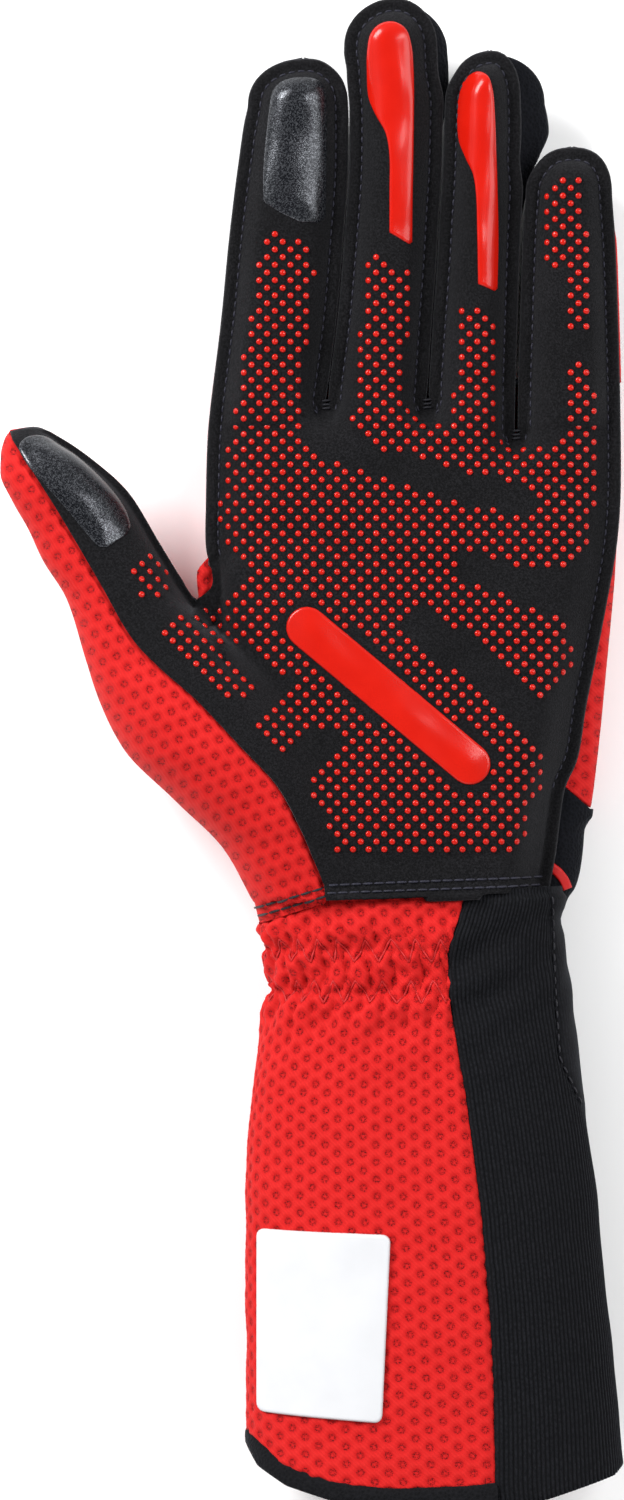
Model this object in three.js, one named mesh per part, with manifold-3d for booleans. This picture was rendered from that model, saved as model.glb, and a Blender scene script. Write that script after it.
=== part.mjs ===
// Long-cuffed racing glove for the left hand, lying on its back with the palm up.
// Millimetres. X runs across the palm to the little finger, Y from the cuff to the finger tips, Z up.
// The glove is one hollow form, lofted through short tables of cross-sections and then cut into its
// sewn panels along the seams. Small parts on the surface are cut from slightly larger copies of the form.

import * as THREE from "three";
import { mergeVertices } from "three/addons/utils/BufferGeometryUtils.js";
import Module from "manifold-3d";

const wasm = await Module();
wasm.setup();

// Driving dimensions
const WALL = 1.5;
const GAP = 0.3;
const SEAM_ALLOWANCE = 2.2;
const SEAM_THICKNESS = 1.4;
const PRINT_THICKNESS = 0.7;
const PAD_THICKNESS = 0.9;
const LABEL_THICKNESS = 0.6;
const HEM_EXTRA = 0.5;
const TIP_ROUNDING = 10;
const FINGER_FRONT_AT_ROOT = 7.5;
const FINGER_FRONT_AT_TIP = 6;
const FINGER_ROOT_Y = 80.6;
const ROOT_OVERLAP = 6;
const ROOT_INSET = 5;
const KNUCKLE_Y = 84.6;
const SLIT_END_HALF = 0.3;
const NARROWEST = 0.4;
const GATHERS_ROUND_CUFF = 9;
const GATHER_TWIST = 0.55;
const BACK_BULGE_BLEND = 0.45;

// How square each form's cross-section is, where 2 is an ellipse, and how many sides it is drawn with
const FINGER_SECTION = { square: 2.3, sides: 12 };
const PALM_SECTION = { square: 2.4, sides: 22 };
const THUMB_SECTION = { square: 2.2, sides: 14 };
const CUFF_SECTION = { square: 2.5, sides: 36 };

// Reach of the cutting solids past the glove, and limits that only the cuts need
const PLAN_REACH = 120;
const HEIGHT_REACH = 80;
const PAST_WRIST_Y = -60;
const PRINTS_ABOVE_Z = 20.5;
const CRUMB_VOLUME = 100;
const MERGE_DISTANCE = 1e-4;
const SEAM_STEP = { thumbSide: -30, handSide: -26 };

// Turns rows of bare numbers into rows whose columns have names
function table(columns, rows) {
  const names = columns.split(" ");
  return rows.map((row) => Object.fromEntries(names.map((name, i) => [name, row[i]])));
}

// Reads one column of a table at any y, along straight lines between its rows
function columnAt(rows, name, y) {
  const falling = rows[0].y > rows[rows.length - 1].y;
  const ordered = falling ? [...rows].reverse() : rows;
  const after = ordered.findIndex((row) => row.y >= y);
  if (after === 0) return ordered[0][name];
  if (after < 0) return ordered[ordered.length - 1][name];
  const low = ordered[after - 1];
  const high = ordered[after];
  return THREE.MathUtils.mapLinear(y, low.y, high.y, low[name], high[name]);
}

// Height of the side seam of hand and fingers, of the seam on the thumb's inner side, and of the underside
const HEIGHTS = table("y seam thumbSeam underside", [
  [-172.4, 18, 16, -2.5],
  [0, 18.5, 16, -2.5],
  [34, 18.5, 19, -2.5],
  [60, 18, 21, -2],
  [80.6, 17.5, 22, -1],
  [120, 18, 22, 1],
  [150, 19.5, 22, 5],
  [172.4, 20.5, 22, 7],
]);

// Fingers from tip to root: left and right edge of the front panel, and of the knit back
const FINGERS = {
  index: table("y edgeLeft edgeRight backLeft backRight", [
    [158.4, -4.1, 2.4, -3.2, 1.9],
    [156.2, -8.6, 5.5, -7.7, 4.8],
    [152.8, -12.1, 7.2, -10.9, 6.6],
    [147.3, -14.8, 7.9, -13.2, 7.2],
    [135.8, -16.7, 7.9, -14.8, 7.5],
    [117.4, -19.0, 6.8, -16.9, 6.3],
    [99.0, -20.8, 5.2, -18.7, 4.7],
    [80.6, -23.1, 2.9, -21.3, 2.4],
  ]),
  middle: table("y edgeLeft edgeRight backLeft backRight", [
    [172.2, 16.4, 22.2, 16.9, 22.2],
    [169.6, 12.3, 26.6, 13.0, 27.4],
    [165.3, 8.6, 28.6, 9.8, 30.5],
    [160.7, 7.4, 28.9, 8.6, 32.1],
    [154.2, 8.5, 29.1, 9.4, 32.4],
    [145.0, 9.3, 29.6, 10.2, 31.2],
    [135.8, 9.2, 29.5, 10.2, 29.8],
    [117.4, 8.0, 28.4, 9.3, 28.2],
    [99.0, 6.4, 27.3, 7.7, 26.8],
    [80.6, 4.0, 26.1, 5.2, 25.9],
  ]),
  ring: table("y edgeLeft edgeRight backLeft backRight", [
    [160.2, 38.6, 44.4, 39.0, 45.8],
    [157.2, 34.6, 46.8, 35.5, 49.6],
    [153.8, 32.8, 47.7, 33.9, 52.3],
    [149.6, 31.6, 48.0, 33.0, 54.4],
    [142.7, 30.9, 48.2, 32.5, 55.6],
    [137.5, 30.7, 48.0, 32.3, 53.6],
    [131.7, 30.5, 47.7, 32.1, 51.0],
    [124.3, 30.0, 47.5, 31.9, 49.4],
    [115.1, 29.6, 47.3, 31.4, 47.5],
    [99.0, 28.3, 47.0, 30.0, 46.1],
    [80.6, 27.1, 46.6, 28.6, 45.7],
  ]),
  little: table("y edgeLeft edgeRight backLeft backRight", [
    [138.1, 56.8, 63.3, 57.3, 63.1],
    [136.0, 52.8, 67.1, 54.6, 66.4],
    [132.1, 50.9, 68.7, 53.0, 67.7],
    [126.6, 50.0, 69.1, 52.1, 68.4],
    [117.4, 49.1, 69.8, 51.2, 68.9],
    [99.0, 48.2, 70.5, 50.0, 69.6],
    [80.6, 47.5, 71.0, 48.9, 70.0],
  ]),
};

// Hand between the finger roots and the wrist. cup is how far the middle of the palm sinks.
const PALM = table("y edgeLeft edgeRight backLeft backRight top cup", [
  [84.4, -21.4, 69.6, -19.6, 68.6, 19.5, 0],
  [82.0, -22.6, 70.6, -20.6, 69.4, 23, 0],
  [78.6, -23.1, 71.0, -21.3, 70.0, 25.5, 0],
  [71.4, -23.8, 71.0, -21.7, 70.5, 27.2, 0.5],
  [57.6, -24.0, 71.0, -22.0, 71.0, 29, 1.5],
  [46.1, -23.7, 70.0, -22.9, 70.3, 30.6, 2.2],
  [40.5, -23.2, 69.0, -26.4, 70.0, 31.4, 2.7],
  [32.3, -22.9, 67.5, -25.5, 69.3, 32.5, 3],
  [20.8, -22.0, 65.2, -21.0, 68.2, 33.5, 3],
  [-2.2, -18.3, 61.1, -18.3, 65.9, 35, 2],
  [-13.7, -16.4, 58.5, -16.4, 64.3, 35, 1],
  [-22.9, -15.1, 56.7, -15.1, 61.6, 34.5, 0.5],
  [-34.4, -13.7, 56.4, -13.7, 58.8, 34, 0],
]);

// Thumb and its ball, from the tip to the wrist
const THUMB = table("y left right seam top bottom", [
  [73.9, -68.9, -61.9, 22, 24.5, 19.5],
  [71.0, -70.6, -58.5, 22, 28, 15.5],
  [67.7, -71.3, -53.5, 22, 30.5, 13],
  [63.6, -71.4, -48.6, 21.5, 32, 11.5],
  [57.6, -68.9, -42.9, 21, 33, 10],
  [50.7, -65.0, -38.4, 20.5, 33, 9],
  [43.8, -61.8, -34.4, 20, 33.5, 7.5],
  [34.6, -56.2, -28.6, 19, 34.5, 5],
  [20.8, -51.9, -12.8, 18, 37, 1],
  [11.6, -48.9, -3.6, 17, 39, -1],
  [0.1, -43.1, 4.3, 16.5, 40, -2],
  [-11.4, -31.6, 10.2, 16, 39, -2.5],
  [-22.9, -20.1, 13.9, 16, 36.5, -2.5],
  [-34.4, -13.7, 15.8, 16, 33, -2.5],
]);

// Long cuff from the wrist to its mouth. gather is the height of the folds that the elastic draws up.
const CUFF_FLOOR = -2.5;
const CUFF = table("y left right top gather", [
  [-32.8, -13.7, 58.8, 34.5, 0],
  [-42.8, -11.2, 58.3, 34, 0.7],
  [-47.8, -10.0, 58.8, 34, 0.8],
  [-53.9, -9.5, 59.5, 34, 0.8],
  [-59.7, -10.2, 60.1, 34.5, 0.5],
  [-67.5, -12.1, 61.1, 35.5, 0.2],
  [-85.9, -14.6, 63.6, 37, 0],
  [-103.4, -15.3, 65.7, 38.5, 0],
  [-131.0, -15.1, 68.4, 40.5, 0],
  [-158.6, -14.8, 71.2, 42.5, 0],
  [-172.4, -14.6, 71.9, 43.5, 0],
]);

// Edges in plan that the tables of cross-sections don't hold
const PALM_RIGHT_EDGE = table("x y", [
  [54.6, -31.9],
  [56.2, -23.3],
  [57.2, -15.3],
  [58.3, -8.6],
  [61.1, -2.0],
  [63.1, 10.0],
  [65.4, 21.3],
  [68.0, 34.6],
  [70.0, 46.1],
  [71.0, 57.6],
]);
const CROTCHES = table("x y", [
  [3.4, 79.2],
  [26.6, 79.4],
  [47.0, 72.3],
]);
const PALM_LEFT_EDGE = table("x y", [
  [-23.8, 73.5],
  [-24.3, 57.2],
  [-23.6, 46.0],
  [-22.9, 41.7],
  [-24.8, 35.9],
  [-27.3, 34.6],
]);
const THUMB_RIGHT_EDGE = table("x y", [
  [-34.8, 47.3],
  [-42.0, 59.0],
  [-49.6, 66.2],
  [-57.6, 71.6],
  [-63.0, 74.2],
  [-69.2, 73.2],
]);
const THUMB_SEAM = table("x y", [
  [-68.4, 71.0],
  [-57.8, 54.4],
  [-48.6, 38.8],
  [-39.7, 24.0],
  [-25.9, 11.4],
  [-15.8, 0.8],
  [-7.5, -8.2],
  [-2.2, -18.3],
  [2.9, -30.9],
]);
const WRIST_EDGE = table("x y", [
  [-120, -40.1],
  [-14.1, -40.1],
  [3.3, -34.6],
  [54.6, -32.4],
  [120, -32.4],
]);
const RIB_EDGE = table("x y", [
  [35.1, -20],
  [35.1, -33.7],
  [31.9, -42.9],
  [30.9, -48.4],
  [31.4, -56.7],
  [35.1, -78.5],
  [38.5, -103.4],
  [40.6, -126.4],
  [41.6, -147.3],
  [41.7, -166.4],
  [43.6, -190],
]);
const HEM_TOP = table("x y", [
  [-120, -155.4],
  [-15.1, -155.4],
  [-7.2, -162.0],
  [0.3, -165.0],
  [8.4, -166.8],
  [17.4, -167.6],
  [34.4, -167.0],
  [45, -166.2],
  [120, -166.2],
]);
const MOUTH = table("x y", [
  [-120, -158.6],
  [-15.1, -158.6],
  [-12.3, -163.4],
  [-5.9, -167.3],
  [4.3, -170.3],
  [19.4, -171.7],
  [34.4, -172.2],
  [44.3, -171.5],
  [53.7, -169.9],
  [69.1, -165.3],
  [71.4, -163.4],
  [120, -163.4],
]);
const TAB_OUTLINE = table("x y", [
  [57.7, -8.3],
  [62.0, -11.4],
  [120, -14.6],
  [120, -31.2],
  [60.1, -31.2],
  [55.4, -25.2],
]);
const STRIPE_OUTLINE = table("x y", [
  [55.3, -25.6],
  [60.0, -31.6],
  [120, -31.6],
  [120, -33.6],
  [58.8, -33.6],
  [54.9, -28.6],
]);

// Raised prints and pads, in plan
const INDEX_PAD = table("x y", [
  [-1.3, 154.4],
  [3.0, 152.6],
  [3.8, 148.0],
  [3.8, 120.6],
  [-0.8, 120.6],
  [-10.5, 124.8],
  [-10.6, 133.5],
  [-10.0, 141.0],
  [-8.6, 148.6],
  [-5.6, 153.0],
]);
const THUMB_PAD = table("x y", [
  [-66.4, 70.7],
  [-62.0, 71.9],
  [-57.8, 70.0],
  [-50.9, 65.6],
  [-45.6, 60.2],
  [-41.6, 54.5],
  [-41.6, 50.7],
  [-47.0, 46.0],
  [-48.8, 46.4],
  [-51.9, 50.0],
  [-61.1, 60.8],
  [-66.6, 68.0],
]);
const MIDDLE_STRIPE = table("x y", [
  [18.3, 166.6],
  [14.2, 163.6],
  [12.8, 157.4],
  [12.8, 150.2],
  [14.4, 145.6],
  [17.8, 139.7],
  [17.8, 118.6],
  [23.1, 115.8],
  [23.5, 139.7],
  [23.5, 157.4],
  [22.2, 163.4],
]);
const RING_STRIPE = table("x y", [
  [39.2, 155.6],
  [35.6, 152.4],
  [33.9, 146.2],
  [34.1, 138.3],
  [37.2, 130.8],
  [38.1, 106.8],
  [42.7, 105.2],
  [42.9, 130.8],
  [42.0, 146.0],
  [41.3, 152.8],
]);
const GRIP_BAR = { x: 17.5, y: 12.5, length: 58, width: 9.5, lean: THREE.MathUtils.degToRad(-40) };
const LABEL = { left: -12.6, top: -109.0, right: 18.0, bottom: -150.6, lean: 2.0, corner: 1.8 };

// Colours, roughness and metalness
const LOOKS = {
  suede: { color: 0x222124, roughness: 0.92, metalness: 0 },
  mesh: { color: 0xec1e24, roughness: 0.75, metalness: 0 },
  knit: { color: 0x111217, roughness: 0.88, metalness: 0 },
  print: { color: 0xf01c28, roughness: 0.22, metalness: 0 },
  pad: { color: 0x0c0c10, roughness: 0.12, metalness: 0.2 },
  label: { color: 0xf7f8fb, roughness: 0.5, metalness: 0 },
};

// A closed indexed mesh as a solid for joining and cutting
function solidFrom(geometry) {
  const bare = geometry.clone();
  bare.deleteAttribute("normal");
  bare.deleteAttribute("uv");
  const merged = mergeVertices(bare, MERGE_DISTANCE);
  return new wasm.Manifold(
    new wasm.Mesh({
      numProp: 3,
      vertProperties: merged.attributes.position.array,
      triVerts: new Uint32Array(merged.index.array),
    }),
  );
}

function signedPower(value, power) {
  return Math.sign(value) * Math.abs(value) ** power;
}

// One point of a cross-section, a squared oval whose underside lies flat on the ground.
// turn is 0 at the little-finger side and a quarter turn at the top. grow moves the point outwards.
function sectionPoint(row, turn, grow) {
  const across = signedPower(Math.cos(turn), 2 / row.square);
  const rise = signedPower(Math.sin(turn), 2 / row.square);
  const ripple = row.gather * Math.sin(GATHERS_ROUND_CUFF * turn + GATHER_TWIST * row.y);
  const out = grow + ripple;
  const toBack = THREE.MathUtils.smoothstep(-rise, 0, BACK_BULGE_BLEND);
  const left = THREE.MathUtils.lerp(row.left, row.backLeft, toBack);
  const right = THREE.MathUtils.lerp(row.right, row.backRight, toBack);
  const half = Math.max(NARROWEST, (right - left) / 2 + out);
  const reach = Math.max(NARROWEST, (rise > 0 ? row.top - row.seam : row.seam - row.bottom) + out);
  const sink = rise > 0 ? row.cup * (1 - across * across) * rise : 0;
  const lowest = Math.max(0, -grow);
  return new THREE.Vector3(
    (left + right) / 2 + across * half,
    row.y + grow,
    Math.max(lowest, row.seam + reach * rise - sink),
  );
}

// A closed solid through all rows of a form
function loft(form, grow) {
  const { rows, sides } = form;
  const points = rows.flatMap((row) =>
    Array.from({ length: sides }, (_, i) => sectionPoint(row, ((i + 0.5) / sides) * 2 * Math.PI, grow)),
  );
  const faces = [];
  for (let section = 0; section < rows.length - 1; section += 1) {
    for (let side = 0; side < sides; side += 1) {
      const here = section * sides + side;
      const beside = section * sides + ((side + 1) % sides);
      faces.push(here, beside, here + sides, beside, beside + sides, here + sides);
    }
  }
  const last = (rows.length - 1) * sides;
  for (let side = 1; side < sides - 1; side += 1) {
    faces.push(0, side + 1, side);
    faces.push(last, last + side, last + side + 1);
  }
  const geometry = new THREE.BufferGeometry().setFromPoints(points);
  geometry.setIndex(faces);
  return solidFrom(geometry);
}

function union(solids) {
  return solids.reduce((joined, solid) => joined.add(solid));
}

// How full the rounded tip is at a distance behind its end, from 0 to 1
function tipFullness(distance) {
  const share = Math.min(1, (distance + 0.15) / TIP_ROUNDING);
  return Math.sqrt(1 - (1 - share) ** 2);
}

// Adds heights to a finger's rows and carries its root on into the hand
function fingerForm(rows) {
  const tip = rows[0].y;
  const shaped = rows.map((row) => {
    const seam = columnAt(HEIGHTS, "seam", row.y);
    const underside = columnAt(HEIGHTS, "underside", row.y);
    const along = (row.y - FINGER_ROOT_Y) / (tip - FINGER_ROOT_Y);
    const front = THREE.MathUtils.lerp(FINGER_FRONT_AT_ROOT, FINGER_FRONT_AT_TIP, along);
    const fullness = tipFullness(tip - row.y);
    return {
      ...row,
      left: Math.min(row.edgeLeft + SEAM_ALLOWANCE, (row.edgeLeft + row.edgeRight) / 2 - 1),
      right: Math.max(row.edgeRight - SEAM_ALLOWANCE, (row.edgeLeft + row.edgeRight) / 2 + 1),
      seam,
      top: seam + front * fullness,
      bottom: seam - (seam - underside) * fullness,
      cup: 0,
      gather: 0,
      square: FINGER_SECTION.square,
    };
  });
  const root = shaped[shaped.length - 1];
  const inside = {
    ...root,
    y: root.y - ROOT_OVERLAP,
    left: root.left + ROOT_INSET,
    right: root.right - ROOT_INSET,
    backLeft: root.backLeft + ROOT_INSET,
    backRight: root.backRight - ROOT_INSET,
    top: root.top - ROOT_INSET,
    bottom: root.bottom + ROOT_INSET,
  };
  return { rows: [...shaped, inside], sides: FINGER_SECTION.sides };
}

function palmForm() {
  const rows = PALM.map((row) => ({
    ...row,
    left: row.edgeLeft + SEAM_ALLOWANCE,
    right: row.edgeRight - SEAM_ALLOWANCE,
    seam: columnAt(HEIGHTS, "seam", row.y),
    bottom: columnAt(HEIGHTS, "underside", row.y),
    gather: 0,
    square: PALM_SECTION.square,
  }));
  return { rows, sides: PALM_SECTION.sides };
}

function thumbForm() {
  const rows = THUMB.map((row) => ({
    ...row,
    backLeft: row.left,
    backRight: row.right,
    cup: 0,
    gather: 0,
    square: THUMB_SECTION.square,
  }));
  return { rows, sides: THUMB_SECTION.sides };
}

function cuffForm() {
  const rows = CUFF.map((row) => ({
    ...row,
    backLeft: row.left,
    backRight: row.right,
    seam: row.top / 2,
    bottom: CUFF_FLOOR,
    cup: 0,
    square: CUFF_SECTION.square,
  }));
  return { rows, sides: CUFF_SECTION.sides };
}

// A solid that stands over an outline in plan, from low to high
function prism(outline, low = -HEIGHT_REACH, high = HEIGHT_REACH) {
  const shape = new THREE.Shape(outline.map(({ x, y }) => new THREE.Vector2(x, y)));
  const geometry = new THREE.ExtrudeGeometry(shape, { depth: high - low, bevelEnabled: false });
  geometry.translate(0, 0, low);
  return solidFrom(geometry);
}

// Everything on the cuff's side of an edge that crosses the glove
function below(edge, shift = 0) {
  const line = edge.map(({ x, y }) => ({ x, y: y + shift }));
  const far = -2 * PLAN_REACH;
  return prism([{ x: PLAN_REACH, y: far }, ...line.reverse(), { x: -PLAN_REACH, y: far }]);
}

// Everything on the little-finger side of an edge that runs along the glove
function rightOf(edge, shift = 0) {
  const line = edge.map(({ x, y }) => ({ x: x + shift, y }));
  const [first, last] = [line[0], line[line.length - 1]];
  return prism([{ x: PLAN_REACH, y: last.y }, { x: PLAN_REACH, y: first.y }, ...line]);
}

// The space above the seam that runs round the hand, the fingers and the inner side of the thumb
function spaceAboveSeam(drop, thickness = HEIGHT_REACH) {
  const { thumbSide, handSide } = SEAM_STEP;
  const corners = (row) => {
    const hand = row.seam - drop;
    const thumb = row.thumbSeam - drop;
    return [
      [-PLAN_REACH, thumb],
      [thumbSide, thumb],
      [handSide, hand],
      [PLAN_REACH, hand],
      [PLAN_REACH, hand + thickness],
      [handSide, hand + thickness],
      [thumbSide, thumb + thickness],
      [-PLAN_REACH, thumb + thickness],
    ];
  };
  const count = corners(HEIGHTS[0]).length;
  const points = HEIGHTS.flatMap((row) => corners(row).map(([x, z]) => new THREE.Vector3(x, row.y, z)));
  const faces = [];
  for (let section = 0; section < HEIGHTS.length - 1; section += 1) {
    for (let side = 0; side < count; side += 1) {
      const here = section * count + side;
      const beside = section * count + ((side + 1) % count);
      faces.push(here, here + count, beside, beside, here + count, beside + count);
    }
  }
  const capCorners = corners(HEIGHTS[0]).map(([x, z]) => new THREE.Vector2(x, z));
  const last = (HEIGHTS.length - 1) * count;
  for (const [a, b, c] of THREE.ShapeUtils.triangulateShape(capCorners, [])) {
    faces.push(a, b, c);
    faces.push(last + a, last + c, last + b);
  }
  const geometry = new THREE.BufferGeometry().setFromPoints(points);
  geometry.setIndex(faces);
  return solidFrom(geometry);
}

// Plan outline of the suede front: hand, four fingers and thumb. spread widens it past the thumb's seam.
function frontOutline(spread) {
  const upSide = (rows) => [...rows].reverse().map(({ edgeRight, y }) => ({ x: edgeRight, y }));
  const downSide = (rows) => rows.map(({ edgeLeft, y }) => ({ x: edgeLeft, y }));
  const crotch = ({ x, y }) => [
    { x: x + SLIT_END_HALF, y },
    { x: x - SLIT_END_HALF, y },
  ];
  const { index, middle, ring, little } = FINGERS;
  return [
    ...PALM_RIGHT_EDGE,
    ...upSide(little),
    ...downSide(little),
    ...crotch(CROTCHES[2]),
    ...upSide(ring),
    ...downSide(ring),
    ...crotch(CROTCHES[1]),
    ...upSide(middle),
    ...downSide(middle),
    ...crotch(CROTCHES[0]),
    ...upSide(index),
    ...downSide(index),
    ...PALM_LEFT_EDGE,
    ...THUMB_RIGHT_EDGE,
    ...THUMB_SEAM.map(({ x, y }) => ({ x: x - spread, y: y - spread / 2 })),
    { x: THUMB_SEAM[THUMB_SEAM.length - 1].x - spread, y: PAST_WRIST_Y },
    { x: PALM_RIGHT_EDGE[0].x, y: PAST_WRIST_Y },
  ];
}

// The one body of a cut that counts, without the crumbs that a cut can leave
function largest(solid) {
  return solid.decompose().sort((a, b) => b.volume() - a.volume())[0];
}

// A rounded bar or card in plan
function roundedRectangle(left, bottom, right, top, corner) {
  const shape = new THREE.Shape();
  shape.moveTo(left + corner, bottom);
  shape.lineTo(right - corner, bottom);
  shape.absarc(right - corner, bottom + corner, corner, -Math.PI / 2, 0);
  shape.absarc(right - corner, top - corner, corner, 0, Math.PI / 2);
  shape.absarc(left + corner, top - corner, corner, Math.PI / 2, Math.PI);
  shape.absarc(left + corner, bottom + corner, corner, Math.PI, 1.5 * Math.PI);
  return shape.getPoints(5);
}

function gripBarOutline() {
  const { x, y, length, width, lean } = GRIP_BAR;
  const centre = new THREE.Vector2(0, 0);
  const bar = roundedRectangle(-length / 2, -width / 2, length / 2, width / 2, width / 2 - 0.01);
  return bar.map((point) => point.rotateAround(centre, lean).add(new THREE.Vector2(x, y)));
}

// The label's sides lean with the cuff: lean is how far its lower right corner moves in
function labelOutline() {
  const { left, top, right, bottom, lean, corner } = LABEL;
  return roundedRectangle(left, bottom, right, top, corner).map(({ x, y }) => {
    const down = (top - y) / (top - bottom);
    const along = (x - left) / (right - left);
    return { x: x - lean * down * along, y: y - along * THREE.MathUtils.lerp(1, 2, down) };
  });
}

// Hollow forms
const fingers = Object.values(FINGERS).map(fingerForm);
const palm = palmForm();
const thumb = thumbForm();
const cuff = cuffForm();
const forms = [...fingers, palm, thumb, cuff];
const wholeForm = (grow) => union(forms.map((form) => loft(form, grow)));
const shell = wholeForm(0).subtract(wholeForm(-WALL));

// Hand: suede front with its flat seam allowance, red mesh back, knit finger backs
const handShell = shell.subtract(below(WRIST_EDGE, GAP / 2));
const front = wholeForm(0)
  .add(spaceAboveSeam(SEAM_THICKNESS, 2 * SEAM_THICKNESS))
  .intersect(prism(frontOutline(0)))
  .intersect(spaceAboveSeam(0))
  .subtract(below(WRIST_EDGE, GAP / 2))
  .subtract(wholeForm(-WALL));
const back = handShell.subtract(prism(frontOutline(GAP)).intersect(spaceAboveSeam(GAP)));
const KNUCKLES = [
  { x: -PLAN_REACH, y: KNUCKLE_Y },
  { x: PLAN_REACH, y: KNUCKLE_Y },
];
const fingerBacks = back
  .subtract(below(KNUCKLES, GAP))
  .decompose()
  .filter((piece) => piece.volume() > CRUMB_VOLUME)
  .sort((a, b) => a.boundingBox().min[0] - b.boundingBox().min[0]);
const handBack = back.intersect(below(KNUCKLES, 0));

// Wrist: the tab and the stripe wrap round the little-finger side
const tab = handBack.intersect(prism(TAB_OUTLINE));
const stripe = handBack.intersect(prism(STRIPE_OUTLINE));
const wristCut = [
  { x: TAB_OUTLINE[0].x - GAP, y: TAB_OUTLINE[0].y + GAP },
  { x: TAB_OUTLINE[1].x, y: TAB_OUTLINE[1].y + GAP },
  { x: PLAN_REACH, y: TAB_OUTLINE[2].y + GAP },
  { x: PLAN_REACH, y: PAST_WRIST_Y },
  { x: STRIPE_OUTLINE[5].x - GAP, y: PAST_WRIST_Y },
  { x: STRIPE_OUTLINE[5].x - GAP, y: STRIPE_OUTLINE[5].y },
];

// Cuff: red mesh panel, black rib panel and the binding at the mouth
const cuffShell = shell.intersect(below(WRIST_EDGE, -GAP / 2)).subtract(below(MOUTH));
const ribSide = rightOf(RIB_EDGE, GAP / 2);
const meshSide = rightOf(RIB_EDGE, -GAP / 2);
const hem = loft(cuff, HEM_EXTRA)
  .subtract(loft(cuff, -WALL - HEM_EXTRA))
  .intersect(below(HEM_TOP, -GAP / 2))
  .subtract(below(MOUTH))
  .subtract(meshSide);

// A thin piece that lies on the outside of the glove over an outline in plan
function onSurface(outline, surfaceForms, thickness) {
  const over = union(surfaceForms.map((form) => loft(form, GAP + thickness)));
  const under = union(surfaceForms.map((form) => loft(form, GAP)));
  return over.subtract(under).intersect(prism(outline, PRINTS_ABOVE_Z, HEIGHT_REACH));
}

const glove = new THREE.Group();
glove.name = "racing_glove";

function addPiece(name, solid, look) {
  const { vertProperties, triVerts } = largest(solid).getMesh();
  const geometry = new THREE.BufferGeometry();
  geometry.setAttribute("position", new THREE.BufferAttribute(new Float32Array(vertProperties), 3));
  geometry.setIndex(Array.from(triVerts));
  geometry.computeVertexNormals();
  const mesh = new THREE.Mesh(geometry, new THREE.MeshStandardMaterial(LOOKS[look]));
  mesh.name = name;
  glove.add(mesh);
}

const [indexFinger, middleFinger, ringFinger] = fingers;
addPiece("palm_panel", front, "suede");
addPiece("hand_back", handBack.subtract(prism(wristCut)), "mesh");
["index_back", "middle_back", "ring_back", "little_back"].forEach((name, i) => {
  addPiece(name, fingerBacks[i], "knit");
});
addPiece("wrist_tab", tab, "suede");
addPiece("wrist_stripe", stripe, "mesh");
addPiece("cuff_mesh_panel", cuffShell.subtract(meshSide).subtract(below(HEM_TOP, GAP / 2)), "mesh");
addPiece("cuff_rib_panel", cuffShell.intersect(ribSide), "knit");
addPiece("hem_binding", hem, "suede");
addPiece("label_patch", onSurface(labelOutline(), [cuff], LABEL_THICKNESS), "label");
addPiece("index_pad", onSurface(INDEX_PAD, [indexFinger], PAD_THICKNESS), "pad");
addPiece("thumb_pad", onSurface(THUMB_PAD, [thumb], PAD_THICKNESS), "pad");
addPiece("middle_grip_stripe", onSurface(MIDDLE_STRIPE, [middleFinger], PRINT_THICKNESS), "print");
addPiece("ring_grip_stripe", onSurface(RING_STRIPE, [ringFinger], PRINT_THICKNESS), "print");
addPiece("palm_grip_bar", onSurface(gripBarOutline(), [palm, thumb], PRINT_THICKNESS), "print");

export default glove;
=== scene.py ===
# Long-cuffed racing glove for the left hand, lying on its back with the palm up.
# Lengths are in millimetres until a mesh is made. X runs across the palm to the little finger,
# Y from the cuff to the finger tips, Z up. The tables repeat those of the solids.

import math

import bpy
import numpy as np
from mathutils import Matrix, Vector
from mathutils.geometry import delaunay_2d_cdt


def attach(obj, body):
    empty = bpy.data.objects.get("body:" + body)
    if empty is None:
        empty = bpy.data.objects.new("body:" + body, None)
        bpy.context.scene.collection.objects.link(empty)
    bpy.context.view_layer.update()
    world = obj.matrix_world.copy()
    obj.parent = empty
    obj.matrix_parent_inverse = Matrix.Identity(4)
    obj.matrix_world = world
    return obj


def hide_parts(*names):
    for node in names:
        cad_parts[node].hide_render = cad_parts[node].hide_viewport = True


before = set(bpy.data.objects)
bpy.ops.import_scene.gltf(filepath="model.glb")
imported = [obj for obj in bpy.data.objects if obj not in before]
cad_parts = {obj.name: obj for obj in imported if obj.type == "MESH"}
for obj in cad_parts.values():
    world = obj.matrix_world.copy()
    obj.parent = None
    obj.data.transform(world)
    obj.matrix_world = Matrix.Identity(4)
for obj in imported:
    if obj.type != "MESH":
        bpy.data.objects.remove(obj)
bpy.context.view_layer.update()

# Driving dimensions, as in the solids
MM = 0.001
PX = 0.23
PHOTO_CENTRE = (311.5, 750.5)
WALL = 1.3
SEAM_ALLOWANCE = 2.2
SEAM_THICKNESS = 1.4
TIP_ROUNDING = 10.0
FINGER_FRONT_AT_ROOT = 7.5
FINGER_FRONT_AT_TIP = 6.0
FINGER_ROOT_Y = 80.6
ROOT_OVERLAP = 6.0
KNUCKLE_Y = 84.6
STITCH_INSET = 3.0
GATHERS_ROUND_CUFF = 9
GATHER_TWIST = 0.55
BACK_BULGE_BLEND = 0.45
BULGE_DROP = 0.3
FINGER_SQUARE = 2.3
PALM_SQUARE = 2.4
THUMB_SQUARE = 2.2
CUFF_SQUARE = 2.5
CUFF_FLOOR = -2.5
OUTSIDE = -40.0
FINGER_BLEND = 2.5
PALM_BLEND = 4.0
THUMB_BLEND = 6.0
CUFF_BLEND = 3.0
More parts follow.
